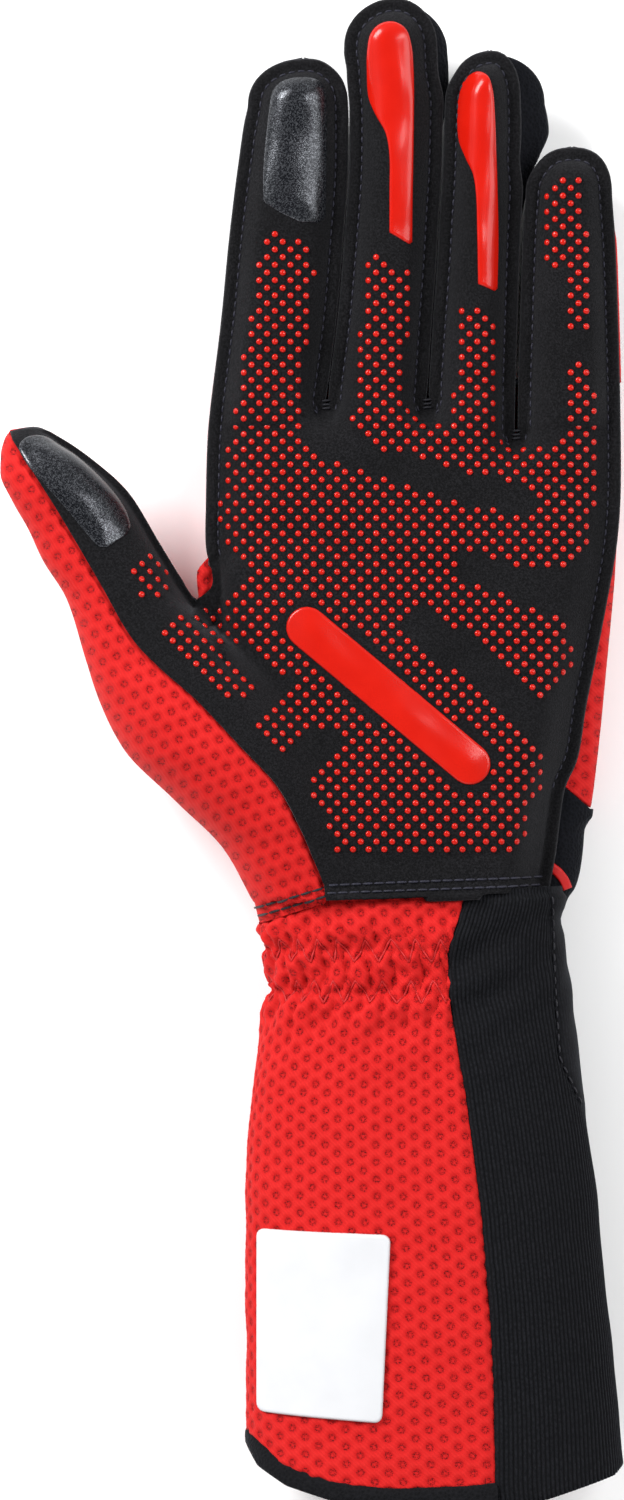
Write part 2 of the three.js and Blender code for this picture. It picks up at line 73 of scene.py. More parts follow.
THUMB_UNDER_BLEND = 5.0
CUFF_UNDER_BLEND = 2.0
FLOOR_BLEND = 0.8
MESH_WALL = 1.1
KNIT_WALL = 1.0
WEB_WALL = 0.8
EDGE_MESH_WALL = 0.6
TAPE_WALL = 0.5
PRINT_WALL = 0.4
END_TOLERANCE = 1.5
AT_ONCE = 1500
TRIANGLE_HEIGHT = 0.866
SETTLING_ROUNDS = 4


def table(columns, rows):
    """Rows of numbers as named columns."""
    values = np.array(rows, float)
    return {name: values[:, i] for i, name in enumerate(columns.split())}


HEIGHTS = table(
    "y seam thumbSeam underside",
    [
        (-172.4, 18, 16, -2.5),
        (0, 18.5, 16, -2.5),
        (34, 18.5, 19, -2.5),
        (60, 18, 21, -2),
        (80.6, 17.5, 22, -1),
        (120, 18, 22, 1),
        (150, 19.5, 22, 5),
        (172.4, 20.5, 22, 7),
    ],
)

# Fingers from tip to root: left and right edge of the front panel, and of the knit back
EDGE_COLUMNS = "y edgeLeft edgeRight backLeft backRight"
TIP_ARCH = 11.0
TIP_SQUARE = {"index": 2.2, "middle": 2.0, "ring": 2.15, "little": 2.4}
FINGERS = {
    "index": table(
        EDGE_COLUMNS,
        [
            (158.4, -4.1, 2.4, -3.2, 1.9),
            (156.2, -8.6, 5.5, -7.7, 4.8),
            (152.8, -12.1, 7.2, -10.9, 6.6),
            (147.3, -14.8, 7.9, -13.2, 7.2),
            (135.8, -16.7, 7.9, -14.8, 7.5),
            (117.4, -19.0, 6.8, -16.9, 6.3),
            (99.0, -20.8, 5.2, -18.7, 4.7),
            (80.6, -23.1, 2.9, -21.3, 2.4),
        ],
    ),
    "middle": table(
        EDGE_COLUMNS,
        [
            (172.2, 16.4, 22.2, 16.9, 22.2),
            (169.6, 12.3, 26.6, 13.0, 27.4),
            (165.3, 8.6, 28.6, 9.8, 30.5),
            (160.7, 7.4, 28.9, 8.6, 32.1),
            (154.2, 8.5, 29.1, 9.4, 32.4),
            (145.0, 9.3, 29.6, 10.2, 31.2),
            (135.8, 9.2, 29.5, 10.2, 29.8),
            (117.4, 8.0, 28.4, 9.3, 28.2),
            (99.0, 6.4, 27.3, 7.7, 26.8),
            (80.6, 4.0, 26.1, 5.2, 25.9),
        ],
    ),
    "ring": table(
        EDGE_COLUMNS,
        [
            (160.2, 38.6, 44.4, 39.0, 45.8),
            (157.2, 34.6, 46.8, 35.5, 49.6),
            (153.8, 32.8, 47.7, 33.9, 52.3),
            (149.6, 31.6, 48.0, 33.0, 54.4),
            (142.7, 30.9, 48.2, 32.5, 55.6),
            (137.5, 30.7, 48.0, 32.3, 53.6),
            (131.7, 30.5, 47.7, 32.1, 51.0),
            (124.3, 30.0, 47.5, 31.9, 49.4),
            (115.1, 29.6, 47.3, 31.4, 47.5),
            (99.0, 28.3, 47.0, 30.0, 46.1),
            (80.6, 27.1, 46.6, 28.6, 45.7),
        ],
    ),
    "little": table(
        EDGE_COLUMNS,
        [
            (138.1, 56.8, 63.3, 57.3, 63.1),
            (136.0, 52.8, 67.1, 54.6, 66.4),
            (132.1, 50.9, 68.7, 53.0, 67.7),
            (126.6, 50.0, 69.1, 52.1, 68.4),
            (117.4, 49.1, 69.8, 51.2, 68.9),
            (99.0, 48.2, 70.5, 50.0, 69.6),
            (80.6, 47.5, 71.0, 48.9, 70.0),
        ],
    ),
}
PALM = table(
    "y edgeLeft edgeRight backLeft backRight top cup",
    [
        (84.4, -21.4, 69.6, -19.6, 68.6, 19.5, 0),
        (82.0, -22.6, 70.6, -20.6, 69.4, 23, 0),
        (78.6, -23.1, 71.0, -21.3, 70.0, 25.5, 0),
        (71.4, -23.8, 71.0, -21.7, 70.5, 27.2, 0.5),
        (57.6, -24.0, 71.0, -22.0, 71.0, 29, 1.5),
        (46.1, -23.7, 70.0, -22.9, 70.3, 30.6, 2.2),
        (40.5, -23.2, 69.0, -26.4, 70.0, 31.4, 2.7),
        (32.3, -22.9, 67.5, -25.5, 69.3, 32.5, 3),
        (20.8, -22.0, 65.2, -21.0, 68.2, 33.5, 3),
        (-2.2, -18.3, 61.1, -18.3, 65.9, 35, 2),
        (-13.7, -16.4, 58.5, -16.4, 64.3, 35, 1),
        (-22.9, -15.1, 56.7, -15.1, 61.6, 34.5, 0.5),
        (-34.4, -13.7, 56.4, -13.7, 58.8, 34, 0),
    ],
)
THUMB = table(
    "y left right seam top bottom",
    [
        (73.9, -68.9, -61.9, 22, 24.5, 19.5),
        (71.0, -70.6, -58.5, 22, 28, 15.5),
        (67.7, -71.3, -53.5, 22, 30.5, 13),
        (63.6, -71.4, -48.6, 21.5, 32, 11.5),
        (57.6, -68.9, -42.9, 21, 33, 10),
        (50.7, -65.0, -38.4, 20.5, 33, 9),
        (43.8, -61.8, -34.4, 20, 33.5, 7.5),
        (34.6, -56.2, -28.6, 19, 34.5, 5),
        (20.8, -51.9, -12.8, 18, 37, 1),
        (11.6, -48.9, -3.6, 17, 39, -1),
        (0.1, -43.1, 4.3, 16.5, 40, -2),
        (-11.4, -31.6, 10.2, 16, 39, -2.5),
        (-22.9, -20.1, 13.9, 16, 36.5, -2.5),
        (-34.4, -13.7, 15.8, 16, 33, -2.5),
    ],
)
CUFF = table(
    "y left right top gather",
    [
        (-32.8, -13.7, 58.8, 34.5, 0),
        (-42.8, -11.2, 58.3, 34, 0.7),
        (-47.8, -10.0, 58.8, 34, 0.8),
        (-53.9, -9.5, 59.5, 34, 0.8),
        (-59.7, -10.2, 60.1, 34.5, 0.5),
        (-67.5, -12.1, 61.1, 35.5, 0.2),
        (-85.9, -14.6, 63.6, 37, 0),
        (-103.4, -15.3, 65.7, 38.5, 0),
        (-131.0, -15.1, 68.4, 40.5, 0),
        (-158.6, -14.8, 71.2, 42.5, 0),
        (-172.4, -14.6, 71.9, 43.5, 0),
    ],
)

# Edges in plan that the tables of cross-sections don't hold
PALM_RIGHT_EDGE = [
    (54.6, -31.9), (56.2, -23.3), (57.2, -15.3), (58.3, -8.6), (61.1, -2.0), (63.1, 10.0),
    (65.4, 21.3), (68.0, 34.6), (70.0, 46.1), (71.0, 57.6),
]
CROTCHES = [(3.4, 79.2), (26.6, 79.4), (47.0, 72.3)]
SLITS = [("index", "middle", 157.5, 0.12), ("middle", "ring", 156.0, 0.12), ("ring", "little", 135.5, 0.3)]
PALM_LEFT_EDGE = [(-23.8, 73.5), (-24.3, 57.2), (-24.2, 46.0), (-22.9, 41.2), (-23.0, 37.6), (-26.9, 34.2)]
THUMB_RIGHT_EDGE = [
    (-34.8, 47.3), (-42.0, 59.0), (-49.6, 66.2), (-57.6, 71.6), (-63.0, 74.2), (-69.2, 73.2),
]
THUMB_SEAM = [
    (-68.4, 71.0), (-57.8, 54.4), (-48.6, 38.8), (-39.7, 24.0), (-25.9, 11.4), (-15.8, 0.8),
    (-7.5, -8.2), (-2.2, -18.3), (2.9, -30.9),
]
WRIST_EDGE = table("x y", [(-120, -40.1), (-14.1, -40.1), (3.3, -34.6), (54.6, -32.4), (120, -32.4)])
RIB_EDGE = table(
    "x y",
    [
        (35.1, -20), (35.1, -33.7), (31.9, -42.9), (30.9, -48.4), (31.4, -56.7), (35.1, -78.5),
        (38.5, -103.4), (40.6, -126.4), (41.6, -147.3), (41.7, -166.4), (43.6, -190),
    ],
)
HEM_TOP = table(
    "x y",
    [
        (-120, -155.4), (-15.1, -155.4), (-7.2, -162.0), (0.3, -165.0), (8.4, -166.8), (17.4, -167.6),
        (34.4, -167.0), (45, -166.2), (120, -166.2),
    ],
)
MOUTH = table(
    "x y",
    [
        (-120, -158.6), (-15.1, -158.6), (-12.3, -163.4), (-5.9, -167.3), (4.3, -170.3),
        (19.4, -171.7), (34.4, -172.2), (44.3, -171.5), (53.7, -169.9), (69.1, -165.3), (71.4, -163.4),
        (120, -163.4),
    ],
)
TAB_TOP = [(57.7, -7.9), (64.2, -13.3), (120.0, -16.0)]
TAB_LEFT = [(54.6, -32.4), (55.1, -25.2), (57.4, -8.0)]

# Raised prints and pads, in plan
INDEX_PAD = [
    (-11.0, 125.6), (-11.2, 130.0), (-11.0, 136.0), (-10.4, 142.0), (-9.8, 147.5), (-8.8, 151.6),
    (-6.3, 153.8), (-1.5, 154.4), (1.5, 153.8), (3.1, 151.6), (3.5, 147.0), (3.5, 135.0), (3.3, 122.3),
]
INDEX_PAD_FOOT = [(1.5, 120.9), (-2.6, 120.9), (-7.2, 123.0)]
THUMB_PAD = [
    (-48.8, 46.4), (-51.9, 50.0), (-56.5, 55.6), (-61.1, 60.8), (-65.0, 65.4), (-66.9, 69.6),
    (-64.8, 71.9), (-61.0, 72.0), (-56.5, 69.6), (-50.9, 65.2), (-45.8, 60.0), (-42.4, 55.0),
    (-41.2, 51.2),
]
THUMB_PAD_FOOT = [(-42.2, 49.2), (-46.6, 46.2)]
MIDDLE_STRIPE = [
    (17.8, 118.6), (17.8, 128.0), (17.75, 136.5), (16.9, 141.3), (14.6, 145.6), (13.0, 149.6),
    (12.6, 155.5), (12.7, 160.4), (13.5, 164.2), (15.6, 166.4), (18.8, 166.9), (21.6, 165.2),
    (22.9, 161.5), (23.4, 156.0), (23.4, 140.0), (23.2, 128.0), (23.1, 116.4),
]
MIDDLE_STRIPE_FOOT = [(22.4, 115.9)]
RING_STRIPE = [
    (38.1, 106.8), (37.9, 118.0), (37.6, 127.5), (36.9, 132.0), (35.2, 135.8), (33.7, 140.0),
    (33.4, 146.4), (33.9, 150.9), (35.4, 154.3), (37.9, 155.7), (40.3, 154.6), (41.5, 151.2),
    (42.0, 146.0), (42.3, 139.0), (42.6, 130.0), (42.9, 118.0), (42.7, 105.9),
]
RING_STRIPE_FOOT = [(42.0, 105.2)]
GRIP_BAR = {"x": 17.5, "y": 12.5, "length": 58.0, "width": 9.5, "lean": math.radians(-40)}
LABEL = {"left": -12.6, "top": -109.0, "right": 18.0, "bottom": -150.6, "lean": 2.0, "corner": 1.8}


def curve(t, start, end, width, leave, arrive):
    """A smooth curve over a width, from one value and slope to another."""
    rise = 2 * t**3 - 3 * t**2 + 1
    bend = (t**3 - 2 * t**2 + t) * width * leave
    return rise * start + bend + (1 - rise) * end + (t**3 - t**2) * width * arrive


def column(rows, name, at):
    """One column of a table read along a smooth curve that never swings past its rows."""
    order = np.argsort(rows["y"])
    xs = rows["y"][order]
    ys = rows[name][order]
    step = np.diff(xs)
    slope = np.diff(ys) / step
    tangent = np.zeros_like(xs)
    tangent[0] = slope[0]
    tangent[-1] = slope[-1]
    both = slope[1:] * slope[:-1]
    total = np.where(np.abs(slope[1:] + slope[:-1]) < 1e-9, 1.0, slope[1:] + slope[:-1])
    tangent[1:-1] = np.where(both > 0, 2 * both / total, 0)
    at = np.clip(at, xs[0], xs[-1])
    i = np.clip(np.searchsorted(xs, at, side="right") - 1, 0, len(xs) - 2)
    t = (at - xs[i]) / step[i]
    return curve(t, ys[i], ys[i + 1], step[i], tangent[i], tangent[i + 1])


def smoothstep(value, low, high):
    t = np.clip((value - low) / (high - low), 0, 1)
    return t * t * (3 - 2 * t)


def signed_power(value, power):
    return np.sign(value) * np.abs(value) ** power


def swell(value, at, width):
    """A soft rise round one value, 1 at its middle."""
    return np.exp(-(((value - at) / width) ** 2))


def quarter_round(away, reach):
    """Rise of a rounded edge, from 0 at the edge to 1 at its reach."""
    return np.sqrt(1 - (1 - np.clip(away / reach, 0, 1)) ** 2)


def unit(vectors):
    return vectors / np.linalg.norm(vectors, axis=-1)[..., None]


def line_at(rows, x):
    """Height in plan of an edge that is given by a table of x and y."""
    return np.interp(x, rows["x"], rows["y"])


def line_points(rows):
    return np.column_stack([rows["x"], rows["y"]])


def smooth_max(a, b, blend):
    """The larger of two heights, with the crease between them filled."""
    near = np.maximum(blend - np.abs(a - b), 0) / blend
    return np.maximum(a, b) + near * near * blend / 4


def smooth_line(points, spacing):
    """A smooth curve through points, resampled at an even spacing."""
    p = np.array(points, float)
    if len(p) > 2:
        ends = [2 * p[0] - p[1]], p, [2 * p[-1] - p[-2]]
        q = np.vstack(ends)
        knot = np.concatenate([[0], np.cumsum(np.linalg.norm(np.diff(q, axis=0), axis=1) ** 0.5)])
        pieces = []
        for i in range(1, len(q) - 2):
            before, width, after = knot[i] - knot[i - 1], knot[i + 1] - knot[i], knot[i + 2] - knot[i + 1]
            chord = (q[i + 1] - q[i]) / width
            start = (q[i] - q[i - 1]) / before - (q[i + 1] - q[i - 1]) / (before + width) + chord
            end = chord - (q[i + 2] - q[i]) / (width + after) + (q[i + 2] - q[i + 1]) / after
            t = np.linspace(0, 1, 24, endpoint=False)[:, None]
            pieces.append(curve(t, q[i], q[i + 1], width, start, end))
        p = np.vstack([*pieces, q[-2:-1]])
    return resample(p, spacing)


def resample(points, spacing):
    """Points at an even spacing along a polyline, with its ends kept."""
    p = np.array(points, float)
    along = np.concatenate([[0], np.cumsum(np.linalg.norm(np.diff(p, axis=0), axis=1))])
    count = max(2, int(round(along[-1] / spacing)) + 1)
    at = np.linspace(0, along[-1], count)
    return np.stack([np.interp(at, along, p[:, i]) for i in range(p.shape[1])], axis=1)


def distance_to(points, lines):
    """Distance in plan from each point to the nearest of some polylines."""
    a = np.vstack([line[:-1] for line in lines])
    ab = np.vstack([line[1:] - line[:-1] for line in lines])
    length = np.maximum((ab**2).sum(1), 1e-12)
    best = np.empty(len(points))
    for start in range(0, len(points), AT_ONCE):
        part = points[start : start + AT_ONCE, None, :2] - a[None]
        t = np.clip((part * ab).sum(2) / length, 0, 1)
        away = part - t[..., None] * ab
        best[start : start + AT_ONCE] = np.sqrt((away**2).sum(2).min(1))
    return best


def inside(points, outline):
    """Whether each point lies inside a closed outline."""
    a = outline
    b = np.roll(outline, -1, axis=0)
    result = np.zeros(len(points), bool)
    for start in range(0, len(points), AT_ONCE):
        x = points[start : start + AT_ONCE, None, 0]
        y = points[start : start + AT_ONCE, None, 1]
        spans = (a[:, 1] > y) != (b[:, 1] > y)
        fall = np.where(b[:, 1] == a[:, 1], 1e-9, b[:, 1] - a[:, 1])
        crossing = a[:, 0] + (y - a[:, 1]) * (b[:, 0] - a[:, 0]) / fall
        result[start : start + AT_ONCE] = (spans & (x < crossing)).sum(1) % 2 == 1
    return result


def inward(outline):
    """Unit vectors that point into a closed outline, one for each of its points."""
    run = np.roll(outline, -1, axis=0) - np.roll(outline, 1, axis=0)
    run /= np.maximum(np.linalg.norm(run, axis=1), 1e-9)[:, None]
    left = np.stack([-run[:, 1], run[:, 0]], axis=1)
    x, y = outline[:, 0], outline[:, 1]
    area = (x * np.roll(y, -1) - np.roll(x, -1) * y).sum()
    return left if area > 0 else -left


def plan_mesh(outline, spacing, rows):
    """Triangles that fill an outline: its own points, rows of points along it, and an even filling."""
    points = [outline]
    turn = inward(outline)
    for row in rows:
        candidate = outline + turn * row
        keep = inside(candidate, outline) & (distance_to(candidate, [closed(outline)]) > row * 0.97)
        points.append(candidate[keep])
    low, high = outline.min(0), outline.max(0)
    across = np.arange(low[0], high[0], spacing)
    up = np.arange(low[1], high[1], spacing * TRIANGLE_HEIGHT)
    grid_x, grid_y = np.meshgrid(across, up)
    grid_x = grid_x + (np.arange(len(up)) % 2)[:, None] * spacing / 2
    grid = np.stack([grid_x.ravel(), grid_y.ravel()], axis=1)
    grid = grid[inside(grid, outline)]
    grid = grid[distance_to(grid, [closed(outline)]) > rows[-1] + spacing * 0.5]
    points = np.vstack([*points, grid])
    count = len(outline)
    loop = [(i, (i + 1) % count) for i in range(count)]
    found = delaunay_2d_cdt([Vector(p) for p in points.tolist()], loop, [], 0, 1e-4)
    plan = np.array([v[:] for v in found[0]], float)
    faces = np.array(found[2], int)
    middle = plan[faces].mean(axis=1)
    return plan, faces[inside(middle, outline)]


def closed(outline):
    return np.vstack([outline, outline[:1]])


def normals_of(points, faces):
    """Unit normals at the points of a triangle or quad mesh."""
    corner = points[faces[:, 0]]
    face = np.cross(points[faces[:, 1]] - corner, points[faces[:, -1]] - corner)
    total = np.zeros_like(points)
    for i in range(faces.shape[1]):
        np.add.at(total, faces[:, i], face)
    return total / np.maximum(np.linalg.norm(total, axis=1), 1e-12)[:, None]


def grid_faces(rows, columns, around=False):
    """Quads of a grid of points that is stored row by row."""
    last = columns if around else columns - 1
    row, side = np.meshgrid(np.arange(rows - 1), np.arange(last), indexing="ij")
    here = (row * columns + side).ravel()
    beside = (row * columns + (side + 1) % columns).ravel()
    return np.stack([here, beside, beside + columns, here + columns], axis=1)


def turned_to(points, faces, chosen, axis):
    """Faces and normals, turned so that the chosen points face up an axis."""
    normal = normals_of(points, faces)
    if normal[chosen].mean(axis=0)[axis] < 0:
        return faces[:, ::-1], -normal
    return faces, normal


def placed(name, data):
    """A new object in the scene."""
    made = bpy.data.objects.new(name, data)
    bpy.context.scene.collection.objects.link(made)
    return made


def grid_points(x, y, z):
    """Points of a grid, row by row, from coordinates that spread to one shape."""
    return np.stack(np.broadcast_arrays(x, y, z), axis=2).reshape(-1, 3)


def add_piece(name, points, faces, look, nodes=(), uv=None, wall=None):
    """One object of the glove, in metres, with its finish."""
    mesh = bpy.data.meshes.new(name)
    face_lists = faces.tolist() if hasattr(faces, "tolist") else [f.tolist() for g in faces for f in g]
    mesh.from_pydata((np.asarray(points) * MM).tolist(), [], face_lists)
    if uv is not None:
        layer = mesh.uv_layers.new(name="pattern")
        corners = np.empty(len(mesh.loops), int)
        mesh.loops.foreach_get("vertex_index", corners)
        layer.data.foreach_set("uv", np.asarray(uv, float)[corners].ravel())
    mesh.polygons.foreach_set("use_smooth", np.ones(len(mesh.polygons), bool))
    mesh.materials.append(look)
    mesh.update()
    piece = placed(name, mesh)
    if wall:
        thickness = piece.modifiers.new("wall", "SOLIDIFY")
        thickness.thickness = wall * MM
        thickness.offset = -1
    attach(piece, "root")
    if nodes:
        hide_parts(*nodes)
    return piece


# Cross-sections, read at any y
def seam_height(y):
    return np.interp(y, HEIGHTS["y"], HEIGHTS["seam"])


def underside_height(y):
    return np.interp(y, HEIGHTS["y"], HEIGHTS["underside"])


def tip_edge(name, side, y, past=0.4):
    """Left or right edge of a finger, rounded to an arch at its tip."""
    rows = FINGERS[name]
    tip = rows["y"][0] + past
    middle = (rows["edgeLeft"][0] + rows["edgeRight"][0]) / 2
    shoulder = column(rows, side, np.minimum(y, tip - TIP_ARCH))
    before = np.clip(1 - (tip - y) / TIP_ARCH, 0, 1)
    square = TIP_SQUARE[name]
    return middle + (shoulder - middle) * (1 - before**square) ** (1 / square)


def finger_section(name, y):
    rows = FINGERS[name]
    tip = rows["y"][0]
    edge_left = tip_edge(name, "edgeLeft", y)
    edge_right = tip_edge(name, "edgeRight", y)
    middle = (edge_left + edge_right) / 2
    root = np.clip((FINGER_ROOT_Y - y) / ROOT_OVERLAP, 0, 1)
    along = np.clip((y - FINGER_ROOT_Y) / (tip - FINGER_ROOT_Y), 0, 1)
    full = quarter_round(tip - y + 0.15, TIP_ROUNDING)
    seam = seam_height(y)
    front = FINGER_FRONT_AT_ROOT + (FINGER_FRONT_AT_TIP - FINGER_FRONT_AT_ROOT) * along
    return {
        "left": np.minimum(edge_left + SEAM_ALLOWANCE, middle - 1) + root,
        "right": np.maximum(edge_right - SEAM_ALLOWANCE, middle + 1) - root,
        "backLeft": knit_edge(name, "backLeft", y) + root,
        "backRight": knit_edge(name, "backRight", y) - root,
        "seam": seam,
        "top": seam + front * full - root,
        "bottom": seam - (seam - underside_height(y)) * full + root,
        "cup": 0 * y,
        "low": FINGER_ROOT_Y - ROOT_OVERLAP,
        "high": tip,
        "square": FINGER_SQUARE,
    }


def slit_shift(name, left_side, right_side, y, edge, reach):
    """How far an edge moves to lie beside the middle of the slit to the next finger."""
    shift = 0 * y
    for left_name, right_name, touch_y, half in SLITS:
        if (name, right_side) == (left_name, True):
            turn = -1
        elif (name, left_side) == (right_name, True):
            turn = 1
        else:
            continue
        middle = (tip_edge(left_name, "edgeRight", y) + tip_edge(right_name, "edgeLeft", y)) / 2
        shift = shift + (middle + turn * half * reach - edge) * smoothstep(touch_y - y, 0, 7)
    return shift


def front_edge(name, side, y):
    """Edge of a finger's front, drawn up to the next finger's front where they touch."""
    edge = tip_edge(name, side, y)
    return edge + slit_shift(name, side == "edgeLeft", side == "edgeRight", y, edge, 1.0)


def knit_edge(name, side, y):
    """Edge of the knit back, which meets the next finger's knit in the slit between them."""
    edge = tip_edge(name, side, y, -0.3)
    shift = slit_shift(name, side == "backLeft", side == "backRight", y, edge, 0.2)
    outward = shift * (1 if side == "backRight" else -1) > 0
    return edge + np.where(outward, shift, 0)


def palm_section(y):
    at_y = {name: column(PALM, name, y) for name in PALM if name != "y"}
    return {
        **at_y,
        "left": at_y["edgeLeft"] + SEAM_ALLOWANCE,
        "right": at_y["edgeRight"] - SEAM_ALLOWANCE,
        "seam": seam_height(y),
        "bottom": underside_height(y),
        "low": PALM["y"][-1],
        "high": PALM["y"][0],
        "square": PALM_SQUARE,
    }


def plain_section(rows, y, square):
    """A cross-section whose back is as wide as its front."""
    left, right = column(rows, "left", y), column(rows, "right", y)
    return {
        "left": left,
        "right": right,
        "backLeft": left,
        "backRight": right,
        "top": column(rows, "top", y),
        "cup": 0 * y,
        "low": rows["y"][-1],
        "high": rows["y"][0],
        "square": square,
    }


def thumb_section(y):
    own = {name: column(THUMB, name, y) for name in ("seam", "bottom")}
    return {**plain_section(THUMB, y, THUMB_SQUARE), **own}


def cuff_section(y):
    section = plain_section(CUFF, y, CUFF_SQUARE)
    return {**section, "seam": section["top"] / 2, "bottom": CUFF_FLOOR + 0 * y}


def upper(section, x, y):
    """Height of a form's upper half at points in plan, far down where the form isn't."""
    half = (section["right"] - section["left"]) / 2
    across = (x - (section["right"] + section["left"]) / 2) / half
    on = (np.abs(across) < 1) & (y >= section["low"]) & (y <= section["high"])
    clear = np.clip(np.abs(across), 0, 1)
    rise = (1 - clear ** section["square"]) ** (1 / section["square"])
    height = section["seam"] + (section["top"] - section["seam"]) * rise
    height -= section["cup"] * (1 - clear**2) * rise
    return np.where(on, height, OUTSIDE)


def back_span(section):
    """Middle and half width of a form's back."""
    left, right = section["backLeft"], section["backRight"]
    return (right + left) / 2, (right - left) / 2


def lower(section, x, y):
    """Height of a form's underside at points in plan, high up where the form isn't."""
    middle, half = back_span(section)
    across = (x - middle) / half
    past_low = y < section["low"] - END_TOLERANCE
    past_high = y > section["high"] + END_TOLERANCE
    on = (np.abs(across) <= 1.02) & ~past_low & ~past_high
    clear = np.clip(np.abs(across), 0, 1)
    rise = (1 - clear ** section["square"]) ** (1 / section["square"])
    edge = section["seam"] - bulge_drop(section) * smoothstep(across, 0, 1)
    height = edge - (edge - section["bottom"]) * rise
    return np.where(on, height, -OUTSIDE)


def bulge_drop(section):
    """How far below the seam the back is widest, where it stands out past the front."""
    width = section["backRight"] - section["right"]
    return BULGE_DROP * (section["seam"] - section["bottom"]) * smoothstep(width, 0, 3)


def body_top(x, y):
    """Upper surface of the hand, thumb and cuff together."""
    height = np.full(len(x), OUTSIDE)
    for name in FINGERS:
        height = smooth_max(height, upper(finger_section(name, y), x, y), FINGER_BLEND)
    height = smooth_max(height, upper(palm_section(y), x, y), PALM_BLEND)
    height = smooth_max(height, upper(thumb_section(y), x, y), THUMB_BLEND)
    return smooth_max(height, upper(cuff_section(y), x, y), CUFF_BLEND)


def body_bottom(x, y):
    """Underside of the hand and thumb together, flat where it rests."""
    depth = -lower(palm_section(y), x, y)
    depth = smooth_max(depth, -lower(thumb_section(y), x, y), THUMB_UNDER_BLEND)
    depth = smooth_max(depth, -lower(cuff_section(y), x, y), CUFF_UNDER_BLEND)
    return smooth_max(-depth, 0 * x, FLOOR_BLEND)


def seam_level(x, y):
    """Height of the flat seam that runs round the front."""
    thumb = np.interp(y, HEIGHTS["y"], HEIGHTS["thumbSeam"])
    on_thumb = 1 - smoothstep(x, -30, -25)
    return seam_height(y) * (1 - on_thumb) + thumb * on_thumb


# Plan outline of the suede front, as runs between its corners
OUTLINE_STEP = 0.8
SLIT_END_HALF = 0.35
FINGER_SHOULDER = 5.2
TURNED_UNDER = 7.0
WRIST_LIFT = 0.8
PALM_SHOULDER = 9.0
EDGE_ROUNDING = 0.9
EDGE_DROP = 0.6
BEAD_INSET = 1.5
BEAD_WIDTH = 0.8
BEAD_HEIGHT = 0.2
GROOVE_WIDTH = 0.45
GROOVE_DEPTH = 0.4
UNEVENNESS = 0.35
SEAM_RIDGE = 0.45


def finger_run(name, start, end):
    """Up one side of a finger, round its tip and down the other side."""
    tip = FINGERS[name]["y"][0] + 0.4
    shoulder = tip - TIP_ARCH
    power = 2 / TIP_SQUARE[name]
    arch = shoulder + TIP_ARCH * np.sin(np.linspace(0, math.pi / 2, 14)) ** power
    y = np.concatenate([np.arange(KNUCKLE_Y, shoulder - 1.5, 3.0), arch])
    right = list(zip(front_edge(name, "edgeRight", y), y))
    left = list(zip(front_edge(name, "edgeLeft", y), y))
    return smooth_line([*start, *right, *left[-2::-1], *end], OUTLINE_STEP)


def slit_side(index, side):
    x, y = CROTCHES[index]
    return [(x + side * SLIT_END_HALF, y)]


free_runs = [
    finger_run("little", PALM_RIGHT_EDGE, slit_side(2, 1)),
    finger_run("ring", slit_side(2, -1), slit_side(1, 1)),
    finger_run("middle", slit_side(1, -1), slit_side(0, 1)),
    finger_run("index", slit_side(0, -1), PALM_LEFT_EDGE),
]
thumb_run = smooth_line([PALM_LEFT_EDGE[-1], *THUMB_RIGHT_EDGE], OUTLINE_STEP)
seam_run = smooth_line(THUMB_SEAM, OUTLINE_STEP)
WRIST_LINE = table("x y", [(3.3, -34.2), (54.4, -32.2)])
wrist_run = resample(line_points(WRIST_LINE), OUTLINE_STEP)
front_outline = np.vstack([*free_runs, thumb_run[1:], seam_run, wrist_run])
free_edges = [run[::2] for run in free_runs]


def edge_softness(x, y):
    """Share of its height that the front has near its free edge, and the distance to that edge."""
    away = distance_to(np.stack([x, y], axis=1), free_edges)
    away = away + TURNED_UNDER * (1 - smoothstep(y, 38, 46)) * smoothstep(-x, 4, 14)
    reach = FINGER_SHOULDER + (PALM_SHOULDER - FINGER_SHOULDER) * smoothstep(-y, -86, -56)
    t = np.clip((away - 2.2) / reach, 0, 1)
    return 1 - (1 - t) ** 2, away


def undulation(x, y):
    """Slow hand-worn unevenness of soft cloth, from -1 to 1."""
    return (
        np.sin(0.21 * x + 0.09 * y + 1.3) * np.sin(0.13 * y - 0.05 * x + 0.4)
        + 0.6 * np.sin(0.37 * y + 0.24 * x) * np.sin(0.31 * x - 0.11 * y + 2.1)
    ) / 1.6


def fold(x, y, start, end, width, depth):
    """A soft crease along a line in plan."""
    a = np.array(start)
    ab = np.array(end) - a
    t = ((x - a[0]) * ab[0] + (y - a[1]) * ab[1]) / (ab**2).sum()
    clear = np.clip(t, 0, 1)
    away = np.hypot(x - a[0] - clear * ab[0], y - a[1] - clear * ab[1])
    fade = np.sin(np.pi * np.clip(t, 0.02, 0.98)) ** 0.5
    return -depth * fade * swell(away, 0, width)


FOLDS = table(
    "startX startY endX endY width depth",
    [
        (-28.5, 36.5, -17.5, 16.5, 0.8, 2.0),
        (-23.0, 25.0, -10.0, 9.0, 3.2, 1.0),
        (-36.0, 40.0, -20.0, 27.0, 2.0, 0.7),
        (-6.0, 76.0, 14.0, 72.0, 1.6, 0.5),
        (16.0, 72.5, 38.0, 68.0, 1.8, 0.6),
        (40.0, 66.0, 66.0, 60.0, 1.6, 0.6),
        (-14.0, 52.0, 40.0, 38.0, 2.6, 0.7),
        (30.0, 20.0, 62.0, 26.0, 2.4, 0.6),
        (0.0, -22.0, 22.0, -27.0, 1.6, 0.5),
        (24.0, -26.0, 50.0, -22.0, 1.6, 0.5),
    ],
)


